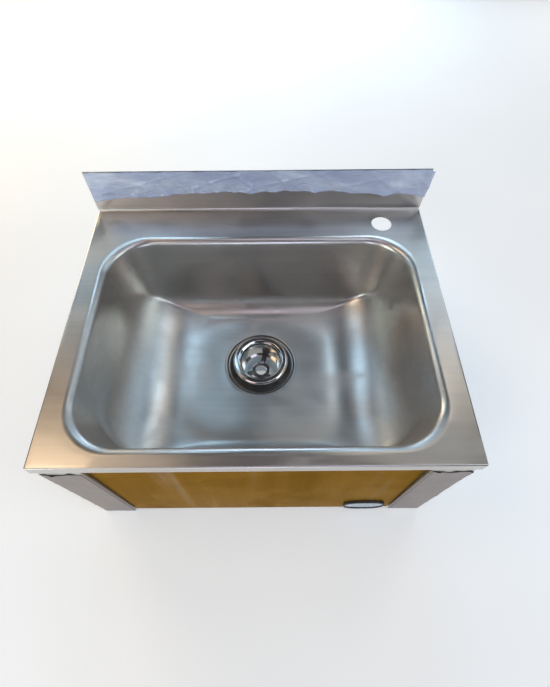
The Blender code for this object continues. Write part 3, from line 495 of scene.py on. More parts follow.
def studio():
    world = bpy.data.worlds.new("studio")
    world.use_nodes = True
    back = world.node_tree.nodes["Background"]
    back.inputs["Color"].default_value = (0.62, 0.64, 0.70, 1)
    back.inputs["Strength"].default_value = 0.06
    bpy.context.scene.world = world
    middle, square = (0, 0, 0.15), (0.9, 0.9)
    softbox("back_low", (0, 1.96, 0.57), middle, square, 17, (0.57, 0.78, 1.0))
    softbox("front_low", (0, -1.96, 0.57), middle, square, 7, (0.75, 0.80, 1.0))
    softbox("front_left_low", (-1.38, -1.38, 0.57), middle, square, 11, (0.75, 0.98, 0.90))
    softbox("back_left_low", (-1.38, 1.38, 0.57), middle, square, 13, (1.0, 0.80, 0.50))
    softbox("back_right_low", (1.38, 1.38, 0.57), middle, square, 3, (1.0, 0.98, 0.90))
    softbox("right_window", (1.56, -0.50, 1.30), middle, square, 8, (0.82, 0.96, 1.0))
    softbox("front_left_high", (-0.96, -1.32, 1.30), middle, square, 4, (1.0, 0.82, 0.84))
    softbox("left_high", (-1.06, 0, 1.85), middle, (0.7, 0.7), 5, (1.0, 0.76, 0.52))
    softbox("back_right_high", (0.75, 0.75, 1.85), middle, (0.7, 0.7), 2.2, (1.0, 0.95, 0.86))
    softbox("bowl_right", (0.23, 0.28, 0.62), (-0.14, -0.02, 0.12), (0.10, 0.22), 0.24, (0.50, 0.76, 1.0))
    softbox("bowl_left", (-0.21, 0.28, 0.62), (0.14, -0.02, 0.12), (0.12, 0.22), 0.30, (0.50, 0.76, 1.0))
    softbox("wall_right", (0.42, 0.22, 0.40), (-0.18, -0.05, 0.19), (0.24, 0.24), 0.25, (0.46, 0.72, 1.0))
    softbox("wall_left", (-0.42, 0.22, 0.40), (0.18, -0.05, 0.19), (0.24, 0.24), 0.15, (0.50, 0.76, 1.0))
    softbox("right_high", (0.75, -0.75, 1.85), middle, (0.7, 0.7), 4, (0.78, 0.83, 1.0))
    softbox("overhead", (0, -0.42, 2.10), middle, (0.5, 0.5), 1.5, (0.90, 0.80, 1.0))
    bpy.context.scene.view_settings.view_transform = "Standard"


# ---- basin top -----------------------------------------------------------------------------

ARC, LONG_SIDE, SHORT_SIDE = 32, 44, 26


def outline_columns():
    """The columns round the bowl, anticlockwise from the start of its right-rear corner.

    A rounded rectangle of half-sizes a, b and corner c is x = X (a - c) + C c, y = Y (b - c) + S c.
    Also gives each column's foot on the deck's edge: a side's columns run straight out to it, and
    a corner's columns share out the way round the deck's corner, closer together near it.
    """
    corners = ((1, 1), (-1, 1), (-1, -1), (1, -1))
    table = []
    for k, (sx, sy) in enumerate(corners):
        t = np.arange(ARC + 1) / ARC
        angle = (k + t) * np.pi / 2
        toward, leaving = 1 - (1 - np.clip(2 * t, 0, 1)) ** 2, np.clip(2 * t - 1, 0, 1) ** 2
        x_in, y_in = sx * (RIM_HALF_W - RIM_CORNER), BOWL_Y + sy * (RIM_HALF_D - RIM_CORNER)
        x_out, y_out = sx * (DECK_HALF - BEND), (BACK - SHEET - COVE) if sy > 0 else FRONT + BEND
        along_x, along_y = (leaving, toward) if k % 2 == 0 else (1 - toward, 1 - leaving)
        foot = x_out + (x_in - x_out) * along_x, y_in + (y_out - y_in) * along_y
        table.append(np.stack([0 * t + sx, 0 * t + sy, np.cos(angle), np.sin(angle), *foot], axis=-1))
        steps = LONG_SIDE if k % 2 == 0 else SHORT_SIDE
        nx, ny = corners[(k + 1) % 4]
        w = np.arange(1, steps) / steps
        X, Y = sx + (nx - sx) * w, sy + (ny - sy) * w
        last = table[-1][-1]
        foot_x = X * (RIM_HALF_W - RIM_CORNER) if k % 2 == 0 else 0 * w + x_out
        foot_y = 0 * w + y_out if k % 2 == 0 else BOWL_Y + Y * (RIM_HALF_D - RIM_CORNER)
        table.append(np.stack([X, Y, 0 * w + last[2], 0 * w + last[3], foot_x, foot_y], axis=-1))
    return np.concatenate(table).T


def deck_relief(x, y):
    """The deck's slight unevenness: two long waves, and a crease from each rear corner inwards."""
    wave = 0.00010 * np.sin(37 * x + 1.0) * np.sin(46 * y + 0.5) + 0.00008 * np.sin(21 * x - 30 * y)
    lift = 0
    for side in (-1, 1):
        dx, dy = side * (DECK_HALF - BEND) - x, BACK - SHEET - COVE - y
        dx = side * dx
        along, across = (dx + dy) / math.sqrt(2), (dx - dy) / math.sqrt(2)
        lift = lift - 0.0009 * np.exp(-(across / 0.006) ** 2) * smooth_step(along / 0.006) \
            * smooth_step((0.040 - along) / 0.030)
        lift = lift + 0.0010 * smooth_step((0.016 - dx) / 0.016) * smooth_step((0.05 - dy) / 0.05) \
            * smooth_step(dx / 0.004)
    return wave + lift


def bowl_wall(floor_r):
    """Inset and depth down one wall: the rim's quarter circle, the slope, then the floor's arc."""
    steep = math.pi / 2 - WALL_SLOPE
    rim = np.linspace(0, steep, 10)
    rim_in, rim_down = RIM_R * np.sin(rim), RIM_R * (1 - np.cos(rim))
    floor_edge = BOWL_DEPTH - FLOOR_FALL
    wall_down = floor_edge - floor_r * (1 - math.cos(steep))
    wall_in = rim_in[-1] + (wall_down - rim_down[-1]) * math.tan(WALL_SLOPE)
    w, turn = np.linspace(0, 1, 9)[1:-1], np.linspace(steep, 0, 22)
    inset = [rim_in, rim_in[-1] + (wall_in - rim_in[-1]) * w,
             wall_in + floor_r * (math.sin(steep) - np.sin(turn))]
    depth = [rim_down, rim_down[-1] + (wall_down - rim_down[-1]) * w,
             floor_edge - floor_r * (1 - np.cos(turn))]
    return np.concatenate(inset)[:, None], np.concatenate(depth)[:, None]


def basin_top(finish):
    """Deck, bowl, drop edges and upstand of one sheet.

    From the deck's edge inwards each ring is a rounded rectangle: it rolls over the rim's quarter
    circle, runs down the sloping wall and turns through the floor's arc, which is wide at the two
    short sides and tight at the long ones: a corner's share of each is the cosine squared of its
    direction.  Then it changes evenly into a circle round the waste and steps down into its recess.
    """
    X, Y, C, S, foot_x, foot_y = outline_columns()
    in_x, deep_x = bowl_wall(SIDE_FLOOR_R)
    in_y, deep_y = bowl_wall(END_FLOOR_R)
    floor_edge = BOWL_DEPTH - FLOOR_FALL
    c = RIM_CORNER + (FLOOR_CORNER - RIM_CORNER) * (deep_x + deep_y) / (2 * floor_edge)
    share = C ** 2
    bowl = np.stack([X * (RIM_HALF_W - in_x - c) + C * c, BOWL_Y + Y * (RIM_HALF_D - in_y - c) + S * c,
                     DECK_Z - share * deep_x - (1 - share) * deep_y], axis=-1)

    edge = bowl[-1]
    angle = np.arctan2(edge[:, 1] - WASTE_Y, edge[:, 0])

    def circle(radius, depth):
        radius, depth = np.atleast_1d(radius)[:, None], np.atleast_1d(depth)[:, None]
        x, y = radius * np.cos(angle), WASTE_Y + radius * np.sin(angle)
        return np.stack([x, y, 0 * x + DECK_Z - depth], axis=-1)

    w = np.linspace(0, 1, 14)[1:, None, None]
    lip = circle(RECESS_R + 0.002, BOWL_DEPTH)
    fall = edge[None] + (lip - edge[None]) * w
    fall[..., 2] = DECK_Z - floor_edge - FLOOR_FALL * smooth_step(w[..., 0])
    s = np.linspace(0, 1, 9)[1:]
    step = circle(RECESS_R + 0.002 - 0.003 * s, BOWL_DEPTH + RECESS_DEPTH * smooth_step(s))
    rest = circle(np.linspace(RECESS_R - 0.001, HOLE_R, 6)[1:],
                  BOWL_DEPTH + RECESS_DEPTH + np.zeros(5))
    w = (1 - np.cos(np.linspace(0, np.pi, 15)[:-1])) / 2
    foot = np.stack([foot_x, foot_y], axis=-1)
    deck = np.empty((len(w), len(X), 3))
    deck[..., :2] = foot + (bowl[0][:, :2] - foot) * w[:, None, None]
    window = smooth_step(w * 8)[:, None] * smooth_step((1 - w) * 6)[:, None]
    deck[..., 2] = DECK_Z + deck_relief(deck[..., 0], deck[..., 1]) * window
    grids = [np.concatenate([deck, bowl, fall, step, rest])]

    middle = ARC // 2
    long_run, short_run = ARC + LONG_SIDE, ARC + SHORT_SIDE
    turns = [middle, middle + long_run, middle + long_run + short_run, middle + 2 * long_run + short_run]
    count = len(X)
    bend = np.linspace(0, np.pi / 2, 6)
    out = BEND * np.concatenate([np.sin(bend), np.ones(4)])
    down = np.concatenate([BEND * (1 - np.cos(bend)), np.linspace(BEND, DROP, 5)[1:]])

    def strip(first, last, way):
        columns = np.arange(first, last + 1) % count
        p = np.repeat(deck[:1, columns], len(out), 0)
        p[..., 0] += way[0] * out[:, None]
        p[..., 1] += way[1] * out[:, None]
        p[..., 2] = DECK_Z - down[:, None]
        return p

    grids.append(strip(turns[1], turns[2], (-1, 0)))
    grids.append(strip(turns[2], turns[3], (0, -1)))
    grids.append(strip(turns[3], turns[0] + count, (1, 0)))
    for side in (-1, 1):
        quarter = np.linspace(0, np.pi / 2, 7)
        x = side * (DECK_HALF - BEND + out[:, None] * np.cos(quarter))
        y = FRONT + BEND - out[:, None] * np.sin(quarter)
        grids.append(np.stack([x, y, np.repeat(DECK_Z - down[:, None], 7, 1)], axis=-1))
    columns = np.arange(turns[0], turns[1] + 1)
    up = np.concatenate([COVE * (1 - np.cos(bend)), np.linspace(COVE, UPSTAND, 14)[1:]])
    back = np.concatenate([COVE * np.sin(bend), np.full(13, COVE)])
    rear = np.repeat(deck[:1, columns], len(up), 0)
    rear[..., 0] *= 1 + BEND / (DECK_HALF - BEND) * np.minimum(up / COVE, 1)[:, None]
    rear[..., 1] += back[:, None]
    rear[..., 2] = DECK_Z + up[:, None]
    grids.append(rear)
    wraps = [True] + [False] * (len(grids) - 1)
    made = piece("basin_pressing", grids, finish, "body", ["basin_top"],
                 outward=(0, 0, 1), wrap=wraps, sharp=50)
    thicken(made, SHEET)
    return drilled(made, "Z", (TAP_X, TAP_Y, DECK_Z), TAP_R, 0.01, 72)


# ---- protective films ----------------------------------------------------------------------

def ridge(x, sharpness):
    """A wave between 0 and 1 whose crests are narrower the greater the sharpness."""
    return (0.5 + 0.5 * np.cos(x)) ** sharpness


def splash_film(finish):
    """The film left on the upstand: flat above, lifting in slanted folds towards its loose edge.

    The hem's height is 35 - 13 u^2 + 2 u - 1.2 cos(3 pi u) mm with a small ripple, u being the distance
    along from the middle; the lift off the steel is the sum of three runs of folds, which grow
    towards the hem as (1 - v)^1.4.
    """
    u, v = np.linspace(-1, 1, 260)[None, :], np.linspace(0, 1, 34)[:, None]
    hem = 0.035 - 0.013 * u ** 2 + 0.002 * u - 0.0012 * np.cos(3 * np.pi * u)
    hem = hem + 0.0008 * np.sin(41 * u + 2 * np.sin(5 * u))
    x = u * (DECK_HALF - 0.0015) + 0 * v
    height = hem + (UPSTAND - 0.0006 - hem) * v
    drift = x + 0.012 * np.sin(17 * x + 1.3)
    folds = 0.60 * ridge(2 * np.pi * drift / 0.083 + 2.3 * v, 2) + 0.45 * ridge(
        2 * np.pi * drift / 0.047 - 3.1 * v + 1.0, 4) + 0.30 * ridge(2 * np.pi * drift / 0.029 + 5 * v, 6)
    lift = 0.0006 + 0.0042 * (1 - v) ** 1.4 * folds
    lift = lift + 0.0009 * ridge(2 * np.pi * (drift / 0.06 + height / 0.045), 10) * smooth_step(v * 3)
    crossing = ridge(2 * np.pi * (drift / 0.11 - height / 0.030) + 2, 14)
    lift = lift + 0.0007 * crossing * smooth_step((1 - v) * 4)
    curl = 0.004 * smooth_step((u - 0.965) / 0.035)
    y = BACK - SHEET - lift - curl
    x = x + 0.004 * smooth_step((u - 0.97) / 0.03) * v
    front = np.stack([x, y, DECK_Z + height], axis=-1)
    made = piece("upstand_film", [front], finish, "body", ["splash_film"], outward=(0, -1, 0),
                 sharp=180)
    thicken(made, 0.00015)
    return made


def panel_film(name, side, finish):
    """The film on a side panel: across its front flange, round the fold and back along its wall.

    Its lift off the steel is blisters and creases that grow towards its torn upper edge.
    """
    low, high = 0.0015, DECK_Z - 0.031
    reach = 0.0005
    corner = (side * (SIDE_X + reach), FLANGE_Y - reach)
    path = rounded_line([(side * (SIDE_X - FLANGE_W), FLANGE_Y - reach), corner,
                         (side * (SIDE_X + reach), BACK - 0.002)], [0.0025], 5)
    path = denser(path, 0.004)
    tangent = np.gradient(path, axis=0)
    normal = np.stack([tangent[:, 1], -tangent[:, 0]], axis=-1)
    normal *= side / np.linalg.norm(normal, axis=1)[:, None]
    run = np.concatenate([[0], np.cumsum(np.linalg.norm(np.diff(path, axis=0), axis=1))])[:, None]
    v = np.linspace(0, 1, 90)[None, :]
    torn = 0.0022 * np.sin(run * 190 + side) + 0.0014 * np.sin(run * 431 + 2)
    z = low + (high + torn - low) * v
    edge = smooth_step((v - 0.86) / 0.14)
    crease = 0.0010 * edge * ridge(run * 330 + 9 * v + side, 3)
    blister = 0.00035 * ridge(run * 70 + 23 * z + side, 3) * ridge(z * 55 + run * 21, 4)
    line = 0.0003 * ridge(run * 110 - z * 140 + 2, 18)
    lift = crease + blister + line
    points = np.empty((len(path), v.shape[1], 3))
    points[..., :2] = path[:, None] + normal[:, None] * lift[..., None]
    points[..., 2] = z
    made = piece(f"{name}_film", [points], finish, "body", [f"{name}_panel_film"],
                 outward=(side, -0.1, 0), sharp=180)
    thicken(made, 0.00012)
    return made


# ---- body ----------------------------------------------------------------------------------

STUDS = [(RAIL_Y + 0.0075, VALVE_Z - 0.018, "X"), (RAIL_Y + 0.0075, VALVE_Z + 0.018, "X"),
         (BACK, 0.185, "Y"), (BACK, 0.035, "Y")]


def stud(axis, place, length, way):
    """A threaded weld stud with a chamfered tip, standing along the axis from a sheet."""
    span = np.array([0, length - 0.0006, length, length]) * way
    radius = np.array([0.0025, 0.0025, 0.0019, 0.0])
    line = denser(np.stack([span, radius], axis=-1), 0.0002)
    ends = sorted((0.0006 * way, (length - 0.0004) * way))
    return lathe(line, axis, place, 20, thread=(0.0008, 0.0004, ends[0], ends[1], 0.0015))


def side_panel(name, side, finish):
    """One side: its plan is folded with 1.6 mm bends and carried up, and its wall ends in lips.

    The plan runs from the return's end, round the front flange and the wall, to the rear flange.
    """
    top, deep = DECK_Z - SHEET - GAP, FLANGE_Y + RETURN_L
    inner, wall, lip = side * (SIDE_X - FLANGE_W), side * SIDE_X, side * (SIDE_X - LIP)
    fold = 0.0016
    plan = rounded_line([(inner, deep), (inner, FLANGE_Y), (wall, FLANGE_Y), (wall, BACK), (lip, BACK)],
                        [fold] * 3, 5)
    plan = denser(plan, 0.012)
    heights = np.concatenate([[0.0], np.linspace(fold, top - fold, 22), [top]])
    grids = [swept(plan, heights, "XYZ")]
    arc = np.linspace(0, np.pi / 2, 6)
    reach = np.linspace(0, 1, 4)
    ys = np.linspace(FLANGE_Y + fold + 0.001, BACK - fold - 0.001, 30)
    for foot, way in ((0.0, 1), (top, -1)):
        bent, flat = fold * (1 - np.cos(arc)), fold + (LIP - fold) * reach[1:]
        x = wall - side * np.concatenate([bent, flat])
        z = np.concatenate([foot + way * fold * (1 - np.sin(arc)), np.full(3, foot)])
        mitre = np.concatenate([0 * arc, reach[1:]]) * 0.006
        middle = (ys[0] + ys[-1]) / 2
        spread = 1 - mitre[:, None] / (ys[-1] - middle)
        y = middle + (ys[None] - middle) * spread
        grids.append(np.stack([np.repeat(x[:, None], 30, 1), y, np.repeat(z[:, None], 30, 1)], axis=-1))
    made = piece(f"{name}_side", grids, finish, "body", [f"{name}_side_panel"],
                 outward=(side, 0, 0), sharp=50)
    thicken(made, SHEET)
    drilled(made, "X", (inner + side * SHEET / 2, HINGE_Y, HINGE_Z), 0.0028, 0.002, 32)
    studs = []
    for y, z, axis in STUDS:
        if axis == "X":
            studs.append(stud("X", (wall - side * SHEET, y, z), 0.0095, -side))
        else:
            studs.append(stud("Y", (side * (SIDE_X - STUD_IN), BACK - SHEET, z), 0.0095, -1))
    piece(f"{name}_studs", studs, ZINC, "body", wrap=True)
    return made


def channel(name, x_half, outer, opening, bottom, top, depth, finish, holes):
    """A channel across the body: a web with two lips and two end tabs, all folded with 1.5 mm bends.

    Its section runs from one lip's edge round the web to the other's and is carried along x.  An
    end tab is the web's last column of points swung through a quarter circle and run out flat.
    holes is a list of (axis, x, y, z, radius), each drilled through the finished sheet.
    """
    way = 1 if opening == "+Y" else -1
    bend = 0.0015
    section = rounded_line([(outer + way * depth, bottom), (outer, bottom), (outer, top),
                            (outer + way * depth, top)], [bend] * 2, 4)
    section = denser(section, 0.006)
    grids = [swept(section, np.linspace(bend - x_half, x_half - bend, 60), "YZX")]
    web = section[np.abs(section[:, 0] - outer) < 1e-7][:, 1]
    arc, flat = np.linspace(0, np.pi / 2, 5), np.linspace(bend, depth, 4)[1:]
    x = np.concatenate([x_half - bend * (1 - np.sin(arc)), np.full(3, x_half)])
    y = outer + way * np.concatenate([bend * (1 - np.cos(arc)), flat])
    for side in (-1, 1):
        grids.append(swept(np.stack([side * x, y], axis=-1), web, "XYZ"))
    made = piece(name + "_channel", grids, finish, "body", [name], outward=(0, -way, 0),
                 sharp=50)
    thicken(made, SHEET)
    for axis, x, y, z, radius in holes:
        drilled(made, axis, (x, y, z), radius, 0.003, 36)
    return made


def front_rail(finish):
    """The strip above the knee panel: folded back at its foot and carried between the side panels."""
    half, top, foot = SIDE_X - FLANGE_W - GAP, DECK_Z - SHEET - GAP, DECK_Z - 0.0265
    section = rounded_line([(PANEL_Y, top), (PANEL_Y, foot), (PANEL_Y + 0.008, foot)], [0.0016], 5)
    made = piece("front_strip", [swept(denser(section, 0.006), np.linspace(-half, half, 60), "YZX")],
                 finish, "body", ["front_rail"], outward=(0, -1, 0), sharp=50)
    return thicken(made, SHEET)


# ---- knee panel ----------------------------------------------------------------------------

def rounded_rings(half_x, half_z, corner, inset, out, columns=(10, 40, 24)):
    """Rings of a rounded rectangle: x = X (a - i - c) + C c, z likewise, y = out, for each inset i.

    The corner's radius c shrinks with the inset down to 0.3 mm.
    """
    arc, long_side, short_side = columns
    table = []
    corners = ((1, 1), (-1, 1), (-1, -1), (1, -1))
    for k, (sx, sz) in enumerate(corners):
        angle = (k + np.arange(arc + 1) / arc) * np.pi / 2
        steps = long_side if k % 2 == 0 else short_side
        nx, nz = corners[(k + 1) % 4]
        w = np.arange(1, steps) / steps
        table.append(np.stack([0 * angle + sx, 0 * angle + sz, np.cos(angle), np.sin(angle)], axis=-1))
        table.append(np.stack([sx + (nx - sx) * w, sz + (nz - sz) * w, 0 * w + np.cos(angle[-1]),
                               0 * w + np.sin(angle[-1])], axis=-1))
    X, Z, C, S = np.concatenate(table).T
    inset, out = np.asarray(inset, float)[:, None], np.asarray(out, float)[:, None]
    c = np.maximum(corner - inset, 0.0003)
    a, b = np.maximum(half_x - inset - c, 0), np.maximum(half_z - inset - c, 0)
    c = np.where((half_z - inset <= 0.0003) | (half_x - inset <= 0.0003), 0, c)
    return np.stack([X * a + C * c, out + 0 * X, Z * b + S * c], axis=-1)


def knee_panel(finish):
    """A shallow tray, open behind: a crowned face, a 2.2 mm bend and sides 19 mm deep.

    The face's crown is 0.5 mm times (1 - (x / a)^2) (1 - (z / b)^2).
    """
    half_z, middle = (PANEL_TOP - PANEL_FOOT) / 2, (PANEL_TOP + PANEL_FOOT) / 2
    bend = 0.0022
    arc = np.linspace(0, np.pi / 2, 6)
    inset = np.concatenate([np.linspace(half_z, bend, 16), bend * (1 - np.sin(arc))[1:], [0, 0, 0]])
    out = np.concatenate([np.zeros(16), bend * (1 - np.cos(arc))[1:],
                          np.linspace(bend, PANEL_DEEP, 4)[1:]])
    rings = rounded_rings(PANEL_HALF, half_z, 0.0030, inset, out)
    x, z = rings[..., 0] / PANEL_HALF, rings[..., 2] / half_z
    crown = 0.0005 * np.clip(1 - x ** 2, 0, 1) * np.clip(1 - z ** 2, 0, 1)
    rings[..., 1] += PANEL_Y - crown * (rings[..., 1] < 1e-9)
    rings[..., 2] += middle
    made = piece("knee_tray", [lean(rings)], finish, "knee_panel", ["knee_panel"],
                 outward=(0, -1, 0), wrap=True, sharp=50)
    thicken(made, SHEET)
    tabs = []
    for side in (-1, 1):
        drilled(made, "X", (side * (PANEL_HALF - SHEET / 2), HINGE_Y, HINGE_Z), 0.0043, 0.002, 32)
        near, far = side * (PANEL_HALF - 0.0006), side * (PANEL_HALF + 0.007)
        tabs.append(rounded_slab((min(near, far), PANEL_Y + PANEL_DEEP - 0.0015, 0.022),
                                 (max(near, far), PANEL_Y + PANEL_DEEP - 0.0003, 0.038), 0.002, 0.0003))
    piece("knee_tray_tabs", [lean(t) for t in tabs], finish, "knee_panel", wrap=True)
    return made


def rounded_slab(low, high, corner, edge, steps=3):
    """A closed slab facing y: rings that close in to a line on its front and its back.

    Between them the edge is a quarter circle on each face.
    """
    low, high = np.array(low, float), np.array(high, float)
    half, middle = (high - low) / 2, (high + low) / 2
    small = min(half[0], half[2])
    arc = np.linspace(0, np.pi / 2, steps + 1)
    face = np.linspace(small, edge, 5)[:-1]
    inset = np.concatenate([face, edge * (1 - np.sin(arc)), edge * (1 - np.cos(arc)), face[::-1]])
    out = np.concatenate([0 * face, edge * (1 - np.cos(arc)), 2 * half[1] - edge * (1 - np.sin(arc)),
                          0 * face + 2 * half[1]])
    rings = rounded_rings(half[0], half[2], corner, inset, out, (5, 8, 8))
    return rings + np.array([middle[0], low[1], middle[2]])


def badge_rim(angle, grow):
    """The badge's outline, a rounded oval: |cos|^(1/1.3) and |sin|^(1/1.3) of the angle."""
    power = 2 / 2.6
    x = np.sign(np.cos(angle)) * np.abs(np.cos(angle)) ** power
    z = np.sign(np.sin(angle)) * np.abs(np.sin(angle)) ** power
    return (0.031 + grow) * x, (0.021 + grow) * z


def push_badge(rim_finish, face_finish):
    """An oval badge: a rounded black rim round a face that is domed by 0.7 mm, with two raised waves."""
    angle = 2 * np.pi * np.arange(96) / 96
    back = PANEL_Y - GAP
    section = np.array([(0.0, 0.0), (0.0, 0.0020), (-0.0004, 0.0027), (-0.0012, 0.0030), (-0.0022, 0.0028),
                        (-0.0028, 0.0022), (-0.0030, 0.0018), (-0.0034, 0.0010), (-0.0036, 0.0)])
    section = np.concatenate([section, section[:1]])
    x, z = badge_rim(angle[None], section[:, :1])
    ring = np.stack([BADGE_X + x, back - section[:, 1:] + 0 * x, BADGE_Z + z], axis=-1)
    made = piece("badge_rim", [lean(ring)], rim_finish, "knee_panel", ["push_badge"], wrap=True)
    s = np.linspace(0, 1, 26)[:, None]
    x, z = badge_rim(angle[None], -0.0031)
    dome = 0.0017 + 0.0007 * (1 - s ** 2)
    px, pz = x * s, z * s
    for rise in (-0.004, 0.003):
        wave = pz - rise - 0.003 * np.sin(px / 0.0062)
        dome = dome + 0.00025 * smooth_step((0.0016 - np.abs(wave)) / 0.0006) * smooth_step((0.8 - s) * 8)
    face = np.stack([BADGE_X + px, back - dome + 0 * px, BADGE_Z + pz], axis=-1)
    base = np.stack([BADGE_X + px[::-1], back - 0.0002 + 0 * px, BADGE_Z + pz[::-1]], axis=-1)
    piece("badge_face", [lean(np.concatenate([face, base]))], face_finish, "knee_panel", wrap=True)
    return made


# ---- waste ---------------------------------------------------------------------------------

def waste(chrome, rubber, plastic):
    """The waste: a turned bezel and cup, its three-armed grate, seals, back nut and tail."""
    centre = (0, WASTE_Y, SEAT_Z)
    under = 0.0055 - 0.036 - GRATE_T - 0.012
    outline = [(under, CUP_R), (0.0, CUP_R), (0.0, FLANGE_R - 0.0022), (0.0016, FLANGE_R - 0.0002),
               (0.0036, FLANGE_R - 0.0006), (0.0055, FLANGE_R - 0.0032), (0.0057, THROAT_R + 0.0056),
               (0.0034, THROAT_R + 0.0022), (0.0004, THROAT_R + 0.0007), (-0.004, THROAT_R + 0.0003),
               (under, THROAT_R)]
    radii = [0.0004, 0.0006, 0.0012, 0.0022, 0.0016, 0.0018, 0.0026, 0.0030, 0.002, 0.0003]
    p = np.array(outline)
    line = rounded_line(np.concatenate([[(p[0] + p[-1]) / 2], p, [(p[0] + p[-1]) / 2]]),
                        [0.0003] + radii, 4)
    ring = lathe(denser(line, 0.0007), "Z", centre, 128, thread=(0.0016, 0.0007, under + 0.001, -0.018,
                                                                 CUP_R - 0.0008))
    made = piece("waste_bezel", [ring], chrome, "body", ["waste_flange"], wrap=True, sharp=60)

    radii = np.concatenate([np.linspace(0.0084, 0.015, 5), np.linspace(0.015, 0.026, 9)[1:],
                            np.linspace(0.026, 0.0300, 4)[1:]])
    half_arm = np.arcsin(0.004 / radii)[:, None]
    fine = np.linspace(-1, 1, 7)[None, :]
    gap = np.linspace(0, 1, 21)[None, 1:]
    sector = [half_arm * fine, half_arm + (2 * np.pi / 3 - 2 * half_arm) * gap]
    sector = np.concatenate(sector, axis=1)[:, :-1]
    turn = math.pi / 2 - math.radians(12)
    angle = np.concatenate([sector + turn + k * 2 * np.pi / 3 for k in range(3)], axis=1)
    r = radii[:, None] + 0 * angle
    plate = np.stack([r * np.cos(angle), WASTE_Y + r * np.sin(angle), 0 * r + GRATE_Z], axis=-1)
    columns = angle.shape[1]
    row, column = np.divmod(np.arange((len(radii) - 1) * columns), columns)
    window = (row >= 4) & (row < 12) & (column % (columns // 3) >= 6)
    grate = piece("waste_grate", [plate], chrome, "body", ["waste_flange"], outward=(0, 0, 1),
                  wrap=True, sharp=60, keep=~window)
    thicken(grate, GRATE_T)
    soften(grate, 0.0005, 3)

    floor_z = DECK_Z - BOWL_DEPTH - RECESS_DEPTH
    profile = [(0, 0.0485), (0.0012, 0.0486), (0.0016, 0.0478), (0.0034, 0.0476), (0.0038, 0.0468),
               (0.0098, 0.0404), (0.0100, CUP_R + GAP), (0, CUP_R + GAP)]
    piece("waste_gasket", [lathe(closed_profile(profile, 0.0004, 3, 0.0015), "Z",
                                 (0, WASTE_Y, floor_z + GAP), 96)], rubber, "body",
          ["waste_seal"], wrap=True, sharp=60)
    low = floor_z - SHEET - GAP
    piece("lower_gasket", [lathe(closed_profile([(-0.003, 0.041), (0, 0.041), (0, CUP_R + GAP),
                                                 (-0.003, CUP_R + GAP)], 0.0006), "Z",
                                 (0, WASTE_Y, low), 96)], rubber, "body", ["lower_seal"], wrap=True)
    top = low - 0.0033
    nut = closed_profile([(-0.009, 0.0395), (-0.0015, 0.0395), (0, 0.0385), (0, CUP_R + 0.0008),
                          (-0.009, CUP_R + 0.0008)], 0.0006, 3, 0.001)
    piece("waste_locking_ring", [lathe(nut, "Z", (0, WASTE_Y, top), 160, flats=(8, 0.038, -0.0091, -0.0008),
                                       lobes=(48, 0.0006, -0.0088, -0.002, 0.0375))], ZINC, "body",
          ["waste_backnut"], wrap=True, sharp=50)
    end = GRATE_Z - GRATE_T - GAP
    tail = [(-0.040, 0.0239), (-0.016, 0.0239), (-0.0125, CUP_R - 0.0035), (0, THROAT_R - GAP),
            (0, THROAT_R - 0.0035), (-0.012, 0.0205), (-0.040, 0.0205)]
    piece("waste_tailpiece", [lathe(closed_profile(tail, 0.0008, 4, 0.0012), "Z", (0, WASTE_Y, end), 96,
                                    thread=(0.0025, 0.0009, -0.0385, -0.020, 0.0232))], plastic, "body",
          ["waste_tail"], wrap=True, sharp=60)
    return made


# ---- fasteners and valve train -------------------------------------------------------------

def nut(name, node, axis, centre, span, af, bore, finish, slot, body="body", thread=0.0008):
    """A chamfered hexagon nut: turned, countersunk and threaded, then cut by six flats."""
    low, high = sorted(span)
    shell = lathe(nut_profile(low, high, af, bore), axis, centre, 96, flats=(6, af / 2, low, high),
                  thread=(-thread, 0.0002, low + thread, high - thread, 0.0))
    return piece(name, [shell], finish, body, [node], wrap=True, sharp=30)


def bolt(parts, axis, centre, finish, name, node, body):
    """Solid turned pieces in one: each part is (profile from axis to axis, lathe settings)."""
    shells = [lathe(profile, axis, centre, 72, **settings) for profile, settings in parts]
    return piece(name, shells, finish, body, [node], wrap=True, sharp=30)


def solid(sections, radius=0.0003, longest=0.002):
    """The outline of a solid turned piece, from the axis out along its sections and back to the axis."""
    p = np.asarray(sections, float)
    line = np.concatenate([[(p[0, 0], 0.0)], p, [(p[-1, 0], 0.0)]])
    return denser(rounded_line(line, radius, 3), longest)


NUT_AF, NUT_BORE, NUT_H = 0.008, 0.0028, 0.004
HEX = 2 / math.sqrt(3)
STUD_IN = 0.0085


